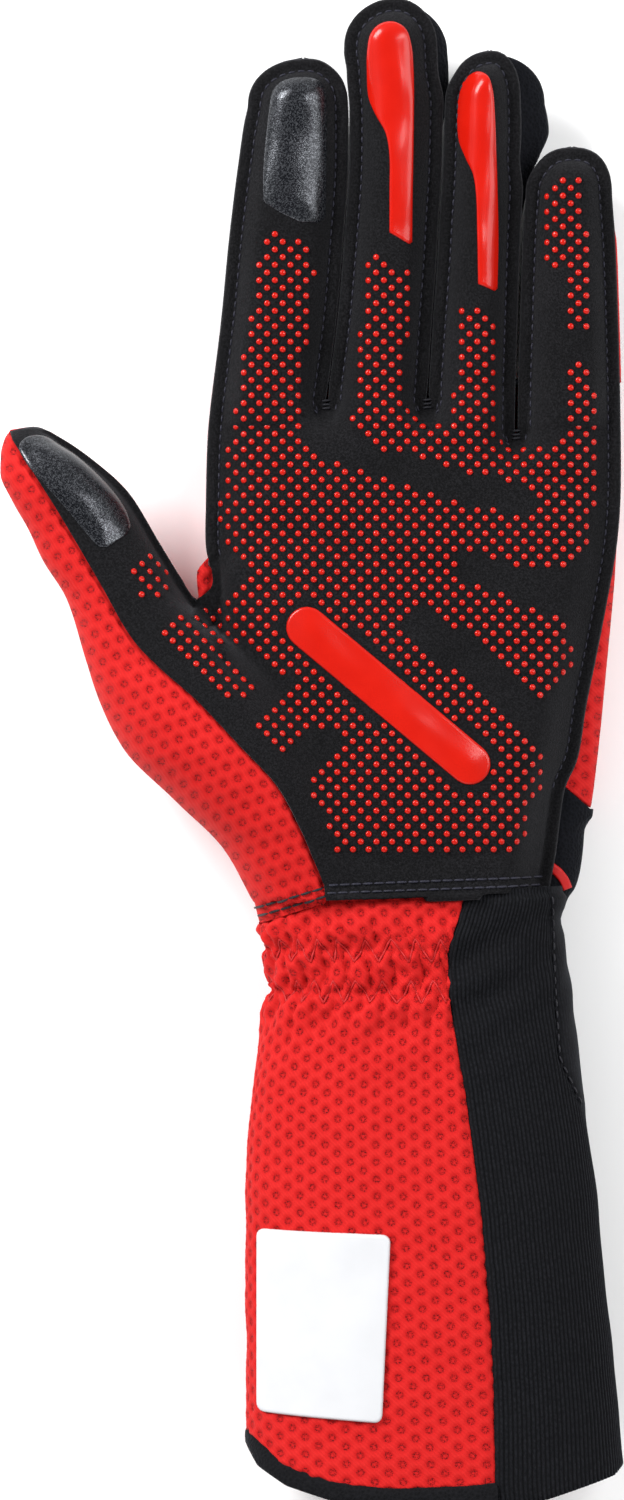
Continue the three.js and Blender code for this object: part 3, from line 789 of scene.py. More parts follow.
def folds(x, y):
    total = 0 * x
    for row in zip(*(FOLDS[name] for name in ("startX", "startY", "endX", "endY", "width", "depth"))):
        start_x, start_y, end_x, end_y, width, depth = row
        total = total + fold(x, y, (start_x, start_y), (end_x, end_y), width, depth)
    return total


def front_top(x, y):
    """Outside of the suede front at points in plan."""
    softness, away = edge_softness(x, y)
    seam = seam_level(x, y)
    flat = seam + SEAM_THICKNESS
    puffed = np.maximum(body_top(x, y) - flat, 0) * softness
    from_seam = seam_distance(x, y)
    height = flat + puffed + EDGE_DROP * (quarter_round(away, EDGE_ROUNDING) - 1)
    height += BEAD_HEIGHT * swell(away, BEAD_INSET, BEAD_WIDTH)
    height -= GROOVE_DEPTH * swell(away, STITCH_INSET, GROOVE_WIDTH)
    height += UNEVENNESS * undulation(x, y) * smoothstep(away, 3, 8) * smoothstep(from_seam, 1, 6)
    height += SEAM_RIDGE * (1 - smoothstep(from_seam, 0.3, 2.2))
    height += WRIST_LIFT * wrist_closeness(x, y)
    return height + folds(x, y) * smoothstep(away, 1, 3)


def wrist_closeness(x, y):
    """1 at the wrist edge of the suede, where it lies over the cuff, and 0 a little above it."""
    return 1 - smoothstep(y - line_at(WRIST_LINE, x), 0.3, 3.5)


def seam_distance(x, y):
    """Distance in plan to the seam between the suede and the red thumb side."""
    return distance_to(np.stack([x, y], axis=1), [seam_run])


# Finishes
class Wiring:
    """Short ways to wire the nodes of a material or a world."""

    def __init__(self, tree):
        self.nodes = tree.nodes
        self.links = tree.links

    def feed(self, socket, value):
        """Sets a socket to a number or a colour, or links another node's output to it."""
        if isinstance(value, bpy.types.NodeSocket):
            self.links.new(value, socket)
        else:
            socket.default_value = (*value, 1) if isinstance(value, tuple) else value

    def add(self, kind, **values):
        node = self.nodes.new(f"ShaderNode{kind}")
        for name, value in values.items():
            self.feed(node.inputs[name], value)
        return node

    def math(self, operation, *values):
        node = self.add("Math")
        node.operation = operation
        for socket, value in zip(node.inputs, values):
            self.feed(socket, value)
        return node.outputs["Value"]

    def split(self, vector):
        return self.add("SeparateXYZ", Vector=vector).outputs

    def ramp(self, factor, stops, reach=1.0):
        """Colours by a factor; the stops are shares of its reach."""
        if reach != 1.0:
            factor = self.math("DIVIDE", factor, reach)
        node = self.add("ValToRGB", Fac=factor)
        elements = node.color_ramp.elements
        while len(elements) < len(stops):
            elements.new(0.5)
        for element, (at, color) in zip(elements, stops):
            element.position = at
            element.color = (*color, 1)
        return node.outputs["Color"]

    def mix(self, factor, a, b):
        node = self.add("Mix")
        node.data_type = "RGBA"
        for name, value in (("Factor", factor), ("A", a), ("B", b)):
            self.feed(node.inputs[name], value)
        return node.outputs["Result"]

    def scaled(self, color, factor):
        """A colour multiplied by a grey factor."""
        node = self.add("VectorMath")
        node.operation = "MULTIPLY"
        for socket, value in zip(node.inputs, (color, factor)):
            self.feed(socket, value)
        return node.outputs["Vector"]


class Look(Wiring):
    """The finish of one material. Its even values are set on the shader's own sockets."""

    def __init__(self, name, **values):
        self.material = bpy.data.materials.new(name)
        self.material.use_nodes = True
        super().__init__(self.material.node_tree)
        self.shader = self.nodes["Principled BSDF"].inputs
        for socket, value in values.items():
            self.feed(self.shader[socket.replace("_", " ")], value)
        self.where = self.add("TexCoord").outputs["Object"]

    def pattern(self):
        """Place in millimetres of the cloth, from the pattern map that it carries."""
        return self.add("TexCoord").outputs["UV"]

    def noise(self, scale, detail, rough, where=None):
        where = self.where if where is None else where
        return self.add("TexNoise", Vector=where, Scale=scale, Detail=detail, Roughness=rough).outputs["Fac"]

    def cells(self, scale):
        return self.add("TexVoronoi", Vector=self.where, Scale=scale).outputs

    def done(self, color, height=None, strength=0, distance=0):
        """Wires the colour and the bump, whose distance is in millimetres."""
        self.feed(self.shader["Base Color"], color)
        if height is not None:
            node = self.add("Bump", Strength=strength, Distance=distance * MM, Height=height)
            self.feed(self.shader["Normal"], node.outputs["Normal"])
        return self.material


BLACK = (0, 0, 0)
WHITE = (1, 1, 1)
RED = (0.44, 0.0075, 0.0070)
# The duller red below is the red band's weave tone and, on the mesh, painted shade in the dish round each
# hole.
RED_DULL_TONE_AND_PAINTED_SHADE = (0.39, 0.0055, 0.0055)
# Painted highlight: a lighter red for the mesh's raised ridges, where they catch the light.
RED_PAINTED_HIGHLIGHT = (0.50, 0.014, 0.012)
RED_DEEP = (0.30, 0.0035, 0.0050)
# Painted shade seen in the mesh's openings round each hole.
RED_PAINTED_HOLE_SHADE = (0.075, 0.0015, 0.0030)
MESH_PITCH_X = 6.0
MESH_PITCH_Y = 3.9
CELL_DEPTH = 0.4
HOLE_DEPTH = 0.15


def grey(value):
    return (value, value, value)


def cloth_look(name, roughness, specular, sheen, sheen_roughness, tint):
    """A soft finish with a faint sheen."""
    return Look(
        name,
        Roughness=roughness,
        Specular_IOR_Level=specular,
        Sheen_Weight=sheen,
        Sheen_Roughness=sheen_roughness,
        Sheen_Tint=tint,
    )


def suede_look():
    look = cloth_look("suede", 0.9, 0.1, 0.12, 0.5, (0.5, 0.5, 0.55))
    nap = look.noise(2100, 3, 0.75)
    fine = look.ramp(nap, [(0.42, (0.0010, 0.0010, 0.0013)), (0.64, (0.0082, 0.0080, 0.0092))])
    worn = look.ramp(look.noise(45, 3, 0.55), [(0.3, grey(0.75)), (0.7, grey(1.25))])
    return look.done(look.scaled(fine, worn), nap, 0.6, 0.25)


def lattice_distance(look, where):
    """Distance in millimetres to the nearest hole of the staggered mesh."""
    axes = look.split(where)
    found = None
    for shift in (0.0, 0.5):
        squares = None
        for axis, pitch in (("X", MESH_PITCH_X), ("Y", MESH_PITCH_Y)):
            part = look.math("FRACT", look.math("ADD", look.math("DIVIDE", axes[axis], pitch), shift))
            length = look.math("MULTIPLY", look.math("SUBTRACT", part, 0.5), pitch)
            square = look.math("MULTIPLY", length, length)
            squares = square if squares is None else look.math("ADD", squares, square)
        found = squares if found is None else look.math("MINIMUM", found, squares)
    return look.math("SQRT", found)


def mesh_dimples(u, v):
    """Depth of the quilted mesh in millimetres: cells with a hole in the middle, between raised diamonds."""
    best = np.full(len(u), np.inf)
    for shift in (0.0, 0.5):
        x = ((u / MESH_PITCH_X + shift) % 1 - 0.5) * MESH_PITCH_X
        y = ((v / MESH_PITCH_Y + shift) % 1 - 0.5) * MESH_PITCH_Y
        best = np.minimum(best, np.hypot(x, y))
    return CELL_DEPTH * (1 - smoothstep(best, 0.2, 2.3)) + HOLE_DEPTH * (1 - smoothstep(best, 0.3, 1.0))


def mesh_look():
    """Quilted mesh: a painted highlight on its raised ridges, painted shade in a dish at each hole, and
    broken dark specks of painted shade in the openings round each hole.
    """
    look = cloth_look("red_mesh", 0.75, 0.12, 0.06, 0.4, (1.0, 0.3, 0.25))
    where = look.pattern()
    away = lattice_distance(look, where)
    ring = look.math("ABSOLUTE", look.math("SUBTRACT", away, 0.6))
    rim = look.ramp(ring, [(0.12, WHITE), (0.42, BLACK)])
    grain = look.ramp(look.noise(3.1, 2, 0.8, where), [(0.50, BLACK), (0.58, WHITE)])
    shaded_hole_specks = look.math("MULTIPLY", rim, grain)
    yarn = look.add("TexWave", Vector=where, Scale=0.62, Distortion=0.6)
    yarn.bands_direction = "DIAGONAL"
    thread = yarn.outputs["Fac"]
    # Painted light: the dish round each hole is painted in shade and the raised ridges between the cells
    # carry a painted highlight.
    quilt_painted_light = look.ramp(away, [(0.05, RED), (0.24, RED_DULL_TONE_AND_PAINTED_SHADE), (0.40, RED), (0.75, RED_PAINTED_HIGHLIGHT)], 3.0)
    woven = look.mix(look.math("MULTIPLY", thread, 0.22), quilt_painted_light, RED_DEEP)
    height = look.math("SUBTRACT", look.math("MULTIPLY", thread, 0.3), shaded_hole_specks)
    # Painted shade: broken dark specks in the openings round each hole, which the bump also sinks.
    return look.done(look.mix(shaded_hole_specks, woven, RED_PAINTED_HOLE_SHADE), height, 0.6, 0.22)


def plain_red_look():
    look = Look("red_band", Roughness=0.5, Specular_IOR_Level=0.2)
    weave = look.noise(1500, 2, 0.5)
    return look.done(look.ramp(weave, [(0.3, RED_DULL_TONE_AND_PAINTED_SHADE), (0.7, RED)]), weave, 0.3, 0.1)


def knit_look(name, light):
    look = cloth_look(name, 0.85, 0.08, 0.05, 0.4, (0.5, 0.55, 0.7))
    loops = look.cells(1300)["Distance"]
    color = look.ramp(loops, [(0.1, tuple(c * 0.3 for c in light)), (0.75, light)])
    worn = look.mix(look.noise(60, 2, 0.5), color, tuple(c * 0.6 for c in light))
    return look.done(worn, loops, 0.7, 0.3)


def rib_look():
    """Knit whose ribs stand out, with painted shade in the grooves between them."""
    look = cloth_look("rib_knit", 0.8, 0.1, 0.06, 0.4, (0.5, 0.55, 0.7))
    part = look.math("FRACT", look.split(look.pattern())["X"])
    from_middle = look.math("ABSOLUTE", look.math("SUBTRACT", part, 0.5))
    rib_crests = look.ramp(from_middle, [(0.16, WHITE), (0.42, BLACK)])
    loops = look.noise(1400, 2, 0.6)
    crest_tone = look.ramp(loops, [(0.35, (0.0018, 0.0020, 0.0030)), (0.7, (0.0075, 0.0078, 0.0100))])
    # Painted shade: the grooves between the ribs get a darker colour than the rib crests.
    return look.done(look.mix(rib_crests, (0.0012, 0.0013, 0.0019), crest_tone), loops, 0.5, 0.2)


def print_look():
    look = Look("grip_print", Roughness=0.2, Specular_IOR_Level=0.25)
    flow = look.noise(160, 3, 0.5)
    color = look.ramp(flow, [(0.3, (0.40, 0.006, 0.002)), (0.75, (0.44, 0.008, 0.003))])
    return look.done(color, flow, 0.12, 0.3)


def pad_look():
    """Dark glossy film with fine metal flakes in it."""
    look = Look("touch_pad", Roughness=0.24, Metallic=0.6)
    flakes = look.cells(4200)
    shine = look.ramp(flakes["Color"], [(0.4, (0.008, 0.009, 0.012)), (0.95, (0.085, 0.09, 0.10))])
    return look.done(shine, flakes["Distance"], 0.3, 0.05)


def label_look():
    look = Look("label", Roughness=0.45, Specular_IOR_Level=0.3)
    slow = look.noise(90, 3, 0.5)
    color = look.ramp(slow, [(0.3, (0.495, 0.50, 0.515)), (0.7, (0.53, 0.535, 0.55))])
    return look.done(color, slow, 0.15, 0.3)


def thread_look(name, dark, light):
    look = Look(name, Roughness=0.6, Specular_IOR_Level=0.3)
    twist = look.noise(3000, 2, 0.5)
    return look.done(look.ramp(twist, [(0.3, dark), (0.7, light)]), twist, 0.3, 0.1)


def floor_look():
    look = Look("studio_floor", Roughness=0.9)
    return look.done(look.ramp(look.noise(6, 2, 0.5), [(0.2, grey(0.90)), (0.8, grey(0.94))]))


SUEDE = suede_look()
MESH_CLOTH = mesh_look()
RED_BAND = plain_red_look()
KNIT = knit_look("knit", (0.0055, 0.006, 0.0085))
RIB_KNIT = rib_look()
BINDING = knit_look("binding", (0.007, 0.007, 0.0085))
PRINT = print_look()
PAD = pad_look()
LABEL_FILM = label_look()
THREAD = thread_look("thread", (0.004, 0.004, 0.008), (0.019, 0.019, 0.034))
RED_THREAD = thread_look("red_thread", RED_DEEP, RED)
BLACK_THREAD = thread_look("black_thread", (0.002, 0.002, 0.004), (0.009, 0.009, 0.014))


# Suede front
FRONT_SPACING = 1.0
FRONT_ROWS = (0.5, 1.1, 1.7, 2.1, 2.4, 2.6, 2.85, 3.15, 3.5, 3.95, 4.5, 5.2, 6.1)


def build_front():
    plan, faces = plan_mesh(front_outline, FRONT_SPACING, FRONT_ROWS)
    height = front_top(plan[:, 0], plan[:, 1])
    points = np.column_stack([plan, height])
    return add_piece("palm_front", points, faces, SUEDE, ["palm_panel"], wall=WALL)


# Knit backs of the four fingers
BACK_COLUMNS = 41
LIP_REACH = 0.94
CREASE_DEPTH = 0.35
CREASE_Y = 118
CREASE_REACH = 9
CAP_SHARE = 0.06
LITTLE_SIDE_TOP = 130.5
WEB_COLUMNS = 400


def section_back(section, turn):
    """Point of a finger's back, from the seam at its right side under to the seam at its left side."""
    across = signed_power(np.cos(turn), 2 / section["square"])
    rise = signed_power(np.sin(turn), 2 / section["square"])
    to_back = smoothstep(-rise, 0, BACK_BULGE_BLEND)
    left = section["left"] + (section["backLeft"] - section["left"]) * to_back
    right = section["right"] + (section["backRight"] - section["right"]) * to_back
    x = (left + right) / 2 + across * (right - left) / 2
    z = section["seam"] + (section["seam"] - section["bottom"]) * rise
    return x, np.maximum(z, 0)


def root_rise(x, y):
    """Lowest z of a finger's back near its root, where it runs on from the back of the hand."""
    x, y = np.broadcast_arrays(x, y)
    hand = body_bottom(x.ravel(), np.full(x.size, KNUCKLE_Y)).reshape(x.shape)
    return np.maximum(hand, 0) * (1 - smoothstep(y - KNUCKLE_Y, 0, 14))


def build_finger_back(name):
    tip = FINGERS[name]["y"][0] - 0.3
    straight = np.arange(KNUCKLE_Y + 0.3, tip - TIP_ARCH, 0.8)
    rounding = tip - TIP_ARCH * (1 - np.sin(np.linspace(0, math.pi / 2, 30)))
    y = np.concatenate([straight, rounding])[:, None]
    turn = -np.linspace(0, math.pi, BACK_COLUMNS)[None, :]
    section = finger_section(name, y)
    x, z = section_back(section, turn)
    wave = CREASE_DEPTH * np.sin(0.9 * y + 1.3 * np.cos(turn))
    crease = wave * np.sin(-turn) * swell(y, CREASE_Y, CREASE_REACH)
    z = np.maximum(z - crease, root_rise(x, y))
    middle = (section["left"] + section["right"]) / 2
    lip_right = middle + (tip_edge(name, "edgeRight", y) - middle) * LIP_REACH
    lip_left = middle + (tip_edge(name, "edgeLeft", y) - middle) * LIP_REACH
    lip_z = section["seam"] - 0.1
    grid_x = np.hstack([lip_right, x, lip_left])
    grid_z = np.hstack([lip_z, z, lip_z])
    grid = np.stack([grid_x, y + 0 * grid_x, grid_z], axis=2)
    apex = np.array([middle[-1, 0], y[-1, 0] + 0.15, lip_z[-1, 0]])
    cap = apex + (grid[-1:] - apex) * CAP_SHARE
    points = np.concatenate([grid, cap]).reshape(-1, 3)
    faces = grid_faces(len(y) + 1, BACK_COLUMNS + 2)
    add_piece(f"{name}_back_knit", points, faces, KNIT, [f"{name}_back"], wall=KNIT_WALL)


def build_little_side():
    """Narrow strip of mesh that shows as a thin red edge beside the little finger."""
    y = np.arange(KNUCKLE_Y + 0.2, LITTLE_SIDE_TOP, 0.5)[:, None]
    share = np.linspace(0, 1, 12)[None, :]
    ends = smoothstep(LITTLE_SIDE_TOP - y, 0, 14)
    x, z = section_back(finger_section("little", y), -0.02 - 0.30 * ends * share)
    past = np.maximum(tip_edge("little", "edgeRight", y) + 0.35 - x, 0)
    x = x + 0.15 + past * np.sin(math.pi * share) ** 0.6 * ends
    mesh_piece("little_side_mesh", grid_points(x, y, z), grid_faces(*x.shape), wall=EDGE_MESH_WALL)


def build_finger_webs():
    """Knit that closes the hand between the roots of the fingers."""
    left, right = column(PALM, "backLeft", KNUCKLE_Y), column(PALM, "backRight", KNUCKLE_Y)
    x = np.linspace(left + 0.3, right - 0.3, WEB_COLUMNS)
    y = np.full(WEB_COLUMNS, KNUCKLE_Y)
    low = np.maximum(body_bottom(x, y), 0) + 0.45
    high = seam_level(x, y) + 0.5
    for name in FINGERS:
        across, under = section_back(finger_section(name, KNUCKLE_Y), -np.linspace(0.02, math.pi - 0.02, 90))
        across, under = across.ravel()[::-1], under.ravel()[::-1]
        covered = (x > across[0]) & (x < across[-1])
        high = np.where(covered, np.minimum(high, np.interp(x, across, under) + 0.6), high)
    high = np.maximum(high, low + 0.3)
    share = np.linspace(0, 1, 9)[:, None]
    out = KNUCKLE_Y + 0.4 + 0.8 * np.sin(math.pi * share)
    points = grid_points(x, out, low + (high - low) * share)
    faces, _ = turned_to(points, grid_faces(9, WEB_COLUMNS), slice(None), 1)
    add_piece("finger_webs", points, faces, KNIT, wall=WEB_WALL)


# Red mesh back of the hand and outer side of the thumb
SIDE_STEP = 1.0
KNUCKLE_LINE = (68.4, -19.4)
CROTCH_SEARCH = (20, 45)
BACK_SPACING = 1.1
THUMB_SPACING = 0.8
THUMB_TIP = (-65.4, 74.2)
THUMB_CAP_Y = 70.0
THUMB_CAP_REACH = 3.0
THUMB_MESH_LEAN = math.radians(-12)
SIDE_ROWS = (0.04, 0.15, 0.35, 0.65, 1.05, 1.6, 2.3, 3.2)
WRIST_CORNER = (-13.2, -40.1)
WRIST_MIDDLE = (3.3, -34.6)
FLAP_LOW = 33.4
FLAP_HIGH = 46.0
FLAP_INNER = table("y x", [(33.4, -26.0), (36.2, -24.0), (41.2, -22.9), (46.0, -24.2)])
WRIST_LOW = -32.3
TAB_RIGHT = table(
    "y x",
    [
        (-37.0, 58.0), (-34.0, 59.2), (-31.6, 60.8), (-27.9, 61.9), (-22.9, 62.6), (-18.3, 63.0),
        (-16.6, 63.8), (-15.1, 64.8), (-12.0, 65.1),
    ],
)
WRIST_FLAP = 3.0
FIRST_TAB_TOP = -11.0
TAB_GRID = (60, 80)
BAND = table("x y", [(54.7, -26.6), (56.7, -28.1), (58.2, -30.1), (58.9, -31.9)])
BAND_HALF = 1.15
BAND_THICKNESS = 0.4


def span(low, high, step=SIDE_STEP):
    return np.linspace(low, high, max(2, int(round(abs(high - low) / step)) + 1))


def tab_top(x):
    """Slanted upper edge of the wrist tab."""
    return np.interp(x, *np.array(TAB_TOP).T)


def thumb_crotch_y():
    y = span(*CROTCH_SEARCH, 0.05)
    gap = column(PALM, "backLeft", y) - column(THUMB, "right", y)
    return y[np.argmax(gap > 0)]


def left_side(y):
    """Outermost left point of the hand, thumb and cuff."""
    thumb = column(THUMB, "left", y)
    cuff = column(CUFF, "left", y)
    return np.where(y < PALM["y"][-1], cuff, thumb)


def mesh_piece(name, points, faces, nodes=(), wall=MESH_WALL, lean=0.0):
    """A panel of mesh cloth: its holes are pressed in along the normals."""
    normal = normals_of(points, faces)
    cos, sin = math.cos(lean), math.sin(lean)
    u = points[:, 0] * cos + points[:, 1] * sin
    v = points[:, 1] * cos - points[:, 0] * sin
    depth = mesh_dimples(u, v) * np.clip(np.abs(normal[:, 2]), 0, 1)
    shaped = points - normal * depth[:, None]
    uv = np.column_stack([u, v])
    return add_piece(name, shaped, faces, MESH_CLOTH, nodes, uv=uv, wall=wall)


def side_line(rows, name, y):
    """One edge of a table of cross-sections, in plan."""
    return np.column_stack([column(rows, name, y), y])


def build_hand_back():
    tab_top_y = tab_top(column(PALM, "backRight", -13.5)) + 0.3
    crotch = thumb_crotch_y()
    knuckle_x = span(*KNUCKLE_LINE)
    outer_y = span(THUMB["y"][0] - 0.3, WRIST_CORNER[1])
    wrist_x = span(WRIST_CORNER[0], TAB_LEFT[0][0])
    outline = np.vstack(
        [
            side_line(PALM, "backRight", span(tab_top_y, KNUCKLE_Y)),
            np.column_stack([knuckle_x, np.full(len(knuckle_x), KNUCKLE_Y)])[1:-1],
            side_line(PALM, "backLeft", span(KNUCKLE_Y, crotch)),
            side_line(THUMB, "right", span(crotch, THUMB["y"][0]))[1:],
            [THUMB_TIP],
            np.column_stack([left_side(outer_y), outer_y]),
            np.column_stack([wrist_x, line_at(WRIST_EDGE, wrist_x)])[1:],
            resample([*TAB_LEFT, (64.2, tab_top_y)], 1.0)[1:-1],
        ]
    )
    plan, faces = plan_mesh(outline, BACK_SPACING, SIDE_ROWS)
    bottom = body_bottom(plan[:, 0], plan[:, 1])
    tip = outline[(outline[:, 0] < -50) & (outline[:, 1] > THUMB_CAP_Y)]
    capped = quarter_round(distance_to(plan, [tip]), THUMB_CAP_REACH)
    seam = column(THUMB, "seam", plan[:, 1])
    bottom = seam - (seam - bottom) * capped
    under = np.column_stack([plan, bottom])
    mesh_piece("hand_back_under", under, faces[:, ::-1], ["hand_back"])


def red_top(x, y):
    """Outside of the red thumb side and of the hand's lower left corner, seen from the palm side."""
    side = column(THUMB, "seam", y)
    left = left_side(y)
    seam_away = seam_distance(x, y)
    height = np.maximum(np.maximum(body_top(x, y), seam_level(x, y) - 6), side)
    height = np.where(x - left < 0.02, side, height)
    height += 0.5 * undulation(1.4 * x, 1.4 * y) * smoothstep(x - left, 1, 6) * smoothstep(seam_away, 1, 6)
    height += 0.3 * swell(seam_away, 1.6, 0.9)
    return height - 0.9 * (1 - smoothstep(seam_away, 0, 1.1))


def build_thumb_side():
    """Outer side of the thumb, from its silhouette over to the seam with the suede."""
    outer_y = span(THUMB["y"][0] - 1.2, WRIST_CORNER[1])
    silhouette = np.column_stack([left_side(outer_y), outer_y])
    seam = seam_run + np.array([0.9, 0.4])
    wrist = resample([WRIST_CORNER, WRIST_MIDDLE], 1.0)[1:]
    rise = resample([WRIST_MIDDLE, tuple(seam[-1])], 1.0)[1:-1]
    plan, faces = plan_mesh(np.vstack([silhouette, wrist, rise, seam[::-1]]), THUMB_SPACING, SIDE_ROWS)
    x, y = plan[:, 0], plan[:, 1]
    red_side = inside(plan, np.vstack([silhouette, [[WRIST_MIDDLE[0], -40.0]], seam_run[::-1]]))
    height = red_top(x, y) - np.where(red_side, 0, 0.35)
    mesh_piece("thumb_outer_side", np.column_stack([plan, height]), faces, lean=THUMB_MESH_LEAN)


def side_point(s, y):
    """Point of the little-finger side: s runs from 0 at the seam over 1 at the widest to 2 underneath."""
    section = palm_section(y)
    width = np.maximum(section["backRight"] - section["right"], 0.01)
    lip_turn = np.clip(s, 0, 1) * math.pi / 2
    lip_x = section["right"] + width * np.sin(lip_turn)
    lip_z = section["seam"] - bulge_drop(section) * (1 - np.cos(lip_turn))
    middle, half = back_span(section)
    under_x = middle + half * np.cos(np.clip(s - 1, 0, 1) * math.pi / 2) ** (2 / PALM_SQUARE)
    under_z = body_bottom(under_x.ravel(), y.ravel()).reshape(y.shape)
    on_lip = s <= 1
    return np.where(on_lip, lip_x, under_x), np.where(on_lip, lip_z, under_z)


def side_end(y):
    """How far round the tab reaches underneath, where it meets the back."""
    middle, half = back_span(palm_section(y))
    left = np.interp(y, np.array(TAB_LEFT)[:, 1], np.array(TAB_LEFT)[:, 0])
    across = (left - middle) / half
    return 1 + np.arccos(np.clip(across, 0, 1) ** (PALM_SQUARE / 2)) / (math.pi / 2)


def build_right_lip():
    """Red cloth between the seam at the little-finger side and where the back is widest."""
    share = np.linspace(0, 1, 120)[:, None]
    s_grid = np.linspace(0, 1, 14)[None, :] + 0 * share
    low = np.full(s_grid.shape, FIRST_TAB_TOP)
    for _ in range(3):
        y = low + (KNUCKLE_Y - low) * share
        x, z = side_point(s_grid, y)
        low = tab_top(x) + 0.15
    mesh_piece("hand_back_right_lip", grid_points(x, y, z), grid_faces(*s_grid.shape))


def build_left_flap():
    """Soft fold of the red back that shows beside the palm at the thumb's crotch."""
    y = span(FLAP_LOW, FLAP_HIGH, 0.4)[:, None]
    u = np.linspace(0, 1, 16)[None, :]
    outer = column(PALM, "backLeft", y)
    inner = np.interp(y, FLAP_INNER["y"], FLAP_INNER["x"]) + 1.6
    x = outer + (inner - outer) * u
    z = seam_height(y) + 0.7 * np.sin(math.pi * np.clip(u * 1.4, 0, 1)) - 0.25 * u
    mesh_piece("hand_back_left_flap", grid_points(x, y, z), grid_faces(*x.shape))


def tab_surface(s, y):
    """Outside of the tab, which bulges over the little-finger side of the wrist."""
    x, z = side_point(s, y)
    bulge = column(TAB_RIGHT, "x", y) - column(PALM, "backRight", y)
    x = x + bulge * smoothstep(s, 0.1, 0.9) * (1 - smoothstep(s, 1.1, 1.7))
    z = z + 0.35 * smoothstep(s, 0, 0.3) * (1 - smoothstep(s, 0.8, 1.2))
    return x, np.maximum(z + 0.2 * undulation(1.5 * x, 1.5 * y) * smoothstep(z, 1, 5), 0)


def build_wrist_tab():
    """Knit that wraps the little-finger side of the wrist, from under the suede to the underside."""
    rows, columns = TAB_GRID
    share = np.linspace(1, 0, rows)[:, None]
    u = np.linspace(0, 1, columns)[None, :]
    top = np.full(TAB_GRID, FIRST_TAB_TOP)
    y = top
    for _ in range(SETTLING_ROUNDS):
        s = side_end(y) * u
        low = WRIST_LOW - WRIST_FLAP * smoothstep(s, 0.1, 0.7) * (1 - smoothstep(s, 1.2, 1.7))
        y = low + (top - low) * share
        x, z = tab_surface(s, y)
        top = tab_top(x) - 0.15
    faces = grid_faces(*x.shape)[:, ::-1]
    add_piece("wrist_side_tab", grid_points(x, y, z), faces, KNIT, ["wrist_tab"], wall=MESH_WALL)


def build_wrist_band():
    """Narrow red tape that crosses the tab down to the cuff."""
    line = smooth_line(line_points(BAND), 0.3)
    run = unit(np.gradient(line, axis=0))
    v = np.linspace(-1, 1, 13)
    x = line[:, 0, None] - run[:, 1, None] * v * BAND_HALF
    y = line[:, 1, None] + run[:, 0, None] * v * BAND_HALF
    s = np.linspace(0, 1, 60)
    z = np.empty_like(x)
    for i in np.ndindex(x.shape):
        across, height = tab_surface(s, np.full(60, y[i]))
        z[i] = np.interp(x[i], across, height)
    z += 0.2 + BAND_THICKNESS * (1 - v**6)
    points = grid_points(x, y, z)
    faces = grid_faces(*x.shape)[:, ::-1]
    node = ["wrist_stripe"]
    add_piece("wrist_red_band", points, faces, RED_BAND, node, wall=TAPE_WALL)


# Long cuff; the values that start with FIRST are where the search for an edge begins
CUFF_LOOP = 720
MESH_SHARE = 0.53
RIB_SHARE = 0.47
ABOVE_CUFF = 30
NEARLY_UP = (0.02, 0.05, 1.0)
CUFF_CORE = (24.0, 18.0)
HEM_CORE = (28, 20)
HEM_SIDES = 16
HEM_COLUMNS = 200
CUFF_MESH_GRID = (240, 200, 1.3)
CUFF_RIB_GRID = (420, 110)
RIDGE_DEPTH = 0.36
MEASURED_Y = -100.0
FIRST_TOP = -36
FIRST_LENGTH = 132
FIRST_HEM = -165.0
SEAM_GAP = -0.0002
SEAM_ROLL = 0.7
TUCK = 1.3
TUCK_DEPTH = 1.2
RIB_PITCH = 1.25
SIDE_SEAM = table(
    "x y",
    [
        (54.7, -30.0), (55.1, -33.5), (55.6, -52.0), (56.7, -70.3), (62.7, -82.7), (64.0, -88.0),
        (80.0, -180.0),
    ],
)


def cuff_point(turn, y):
    """Point of the cuff at an angle and a y, with the folds that the wrist elastic draws up."""
    section = cuff_section(y)
    across = signed_power(np.cos(turn), 2 / CUFF_SQUARE)
    rise = signed_power(np.sin(turn), 2 / CUFF_SQUARE)
    gather = column(CUFF, "gather", y)
    ripple = gather * np.sin(GATHERS_ROUND_CUFF * turn + GATHER_TWIST * y)
    out = ripple * (0.75 - 0.55 * smoothstep(across, 0.3, 0.8))
    half = (section["right"] - section["left"]) / 2 + out
    x = (section["left"] + section["right"]) / 2 + across * half
    reach = np.where(rise > 0, section["top"] - section["seam"], section["seam"] - section["bottom"]) + out
    z = np.maximum(section["seam"] + reach * rise, 0)
    return x, z


def loop_table():
    """Angles against the share of the way round the cuff, from the little-finger side over the top."""
    turn = np.linspace(0, 2 * math.pi, CUFF_LOOP + 1)
    x, z = cuff_point(turn, np.full(len(turn), MEASURED_Y))
    along = np.concatenate([[0], np.cumsum(np.hypot(np.diff(x), np.diff(z)))])
    return turn, along / along[-1], along[-1]


LOOP_TURN, LOOP_SHARE, LOOP_LENGTH = loop_table()


def rib_shares(y):
    """Where the panels' seam lies, as shares of the way round: over the top and underneath."""
    tops, unders = [], []
    share = np.linspace(0, 1, 2 * CUFF_LOOP + 1)
    turn = np.interp(share, LOOP_SHARE, LOOP_TURN)
    order = np.argsort(RIB_EDGE["y"])
    edge = np.interp(y, RIB_EDGE["y"][order], RIB_EDGE["x"][order])
    for at, x_edge in zip(y, edge):
        x, _ = cuff_point(turn, np.full(len(turn), at))
        over = np.where(x[:CUFF_LOOP] < x_edge)[0][0]
        under = CUFF_LOOP + np.where(x[CUFF_LOOP:] > x_edge)[0][0]
        tops.append(share[over])
        unders.append(share[under])
    return np.array(tops), np.array(unders)


Y_TABLE = np.linspace(-176, -28, 150)
RIB_OVER, RIB_UNDER = rib_shares(Y_TABLE)


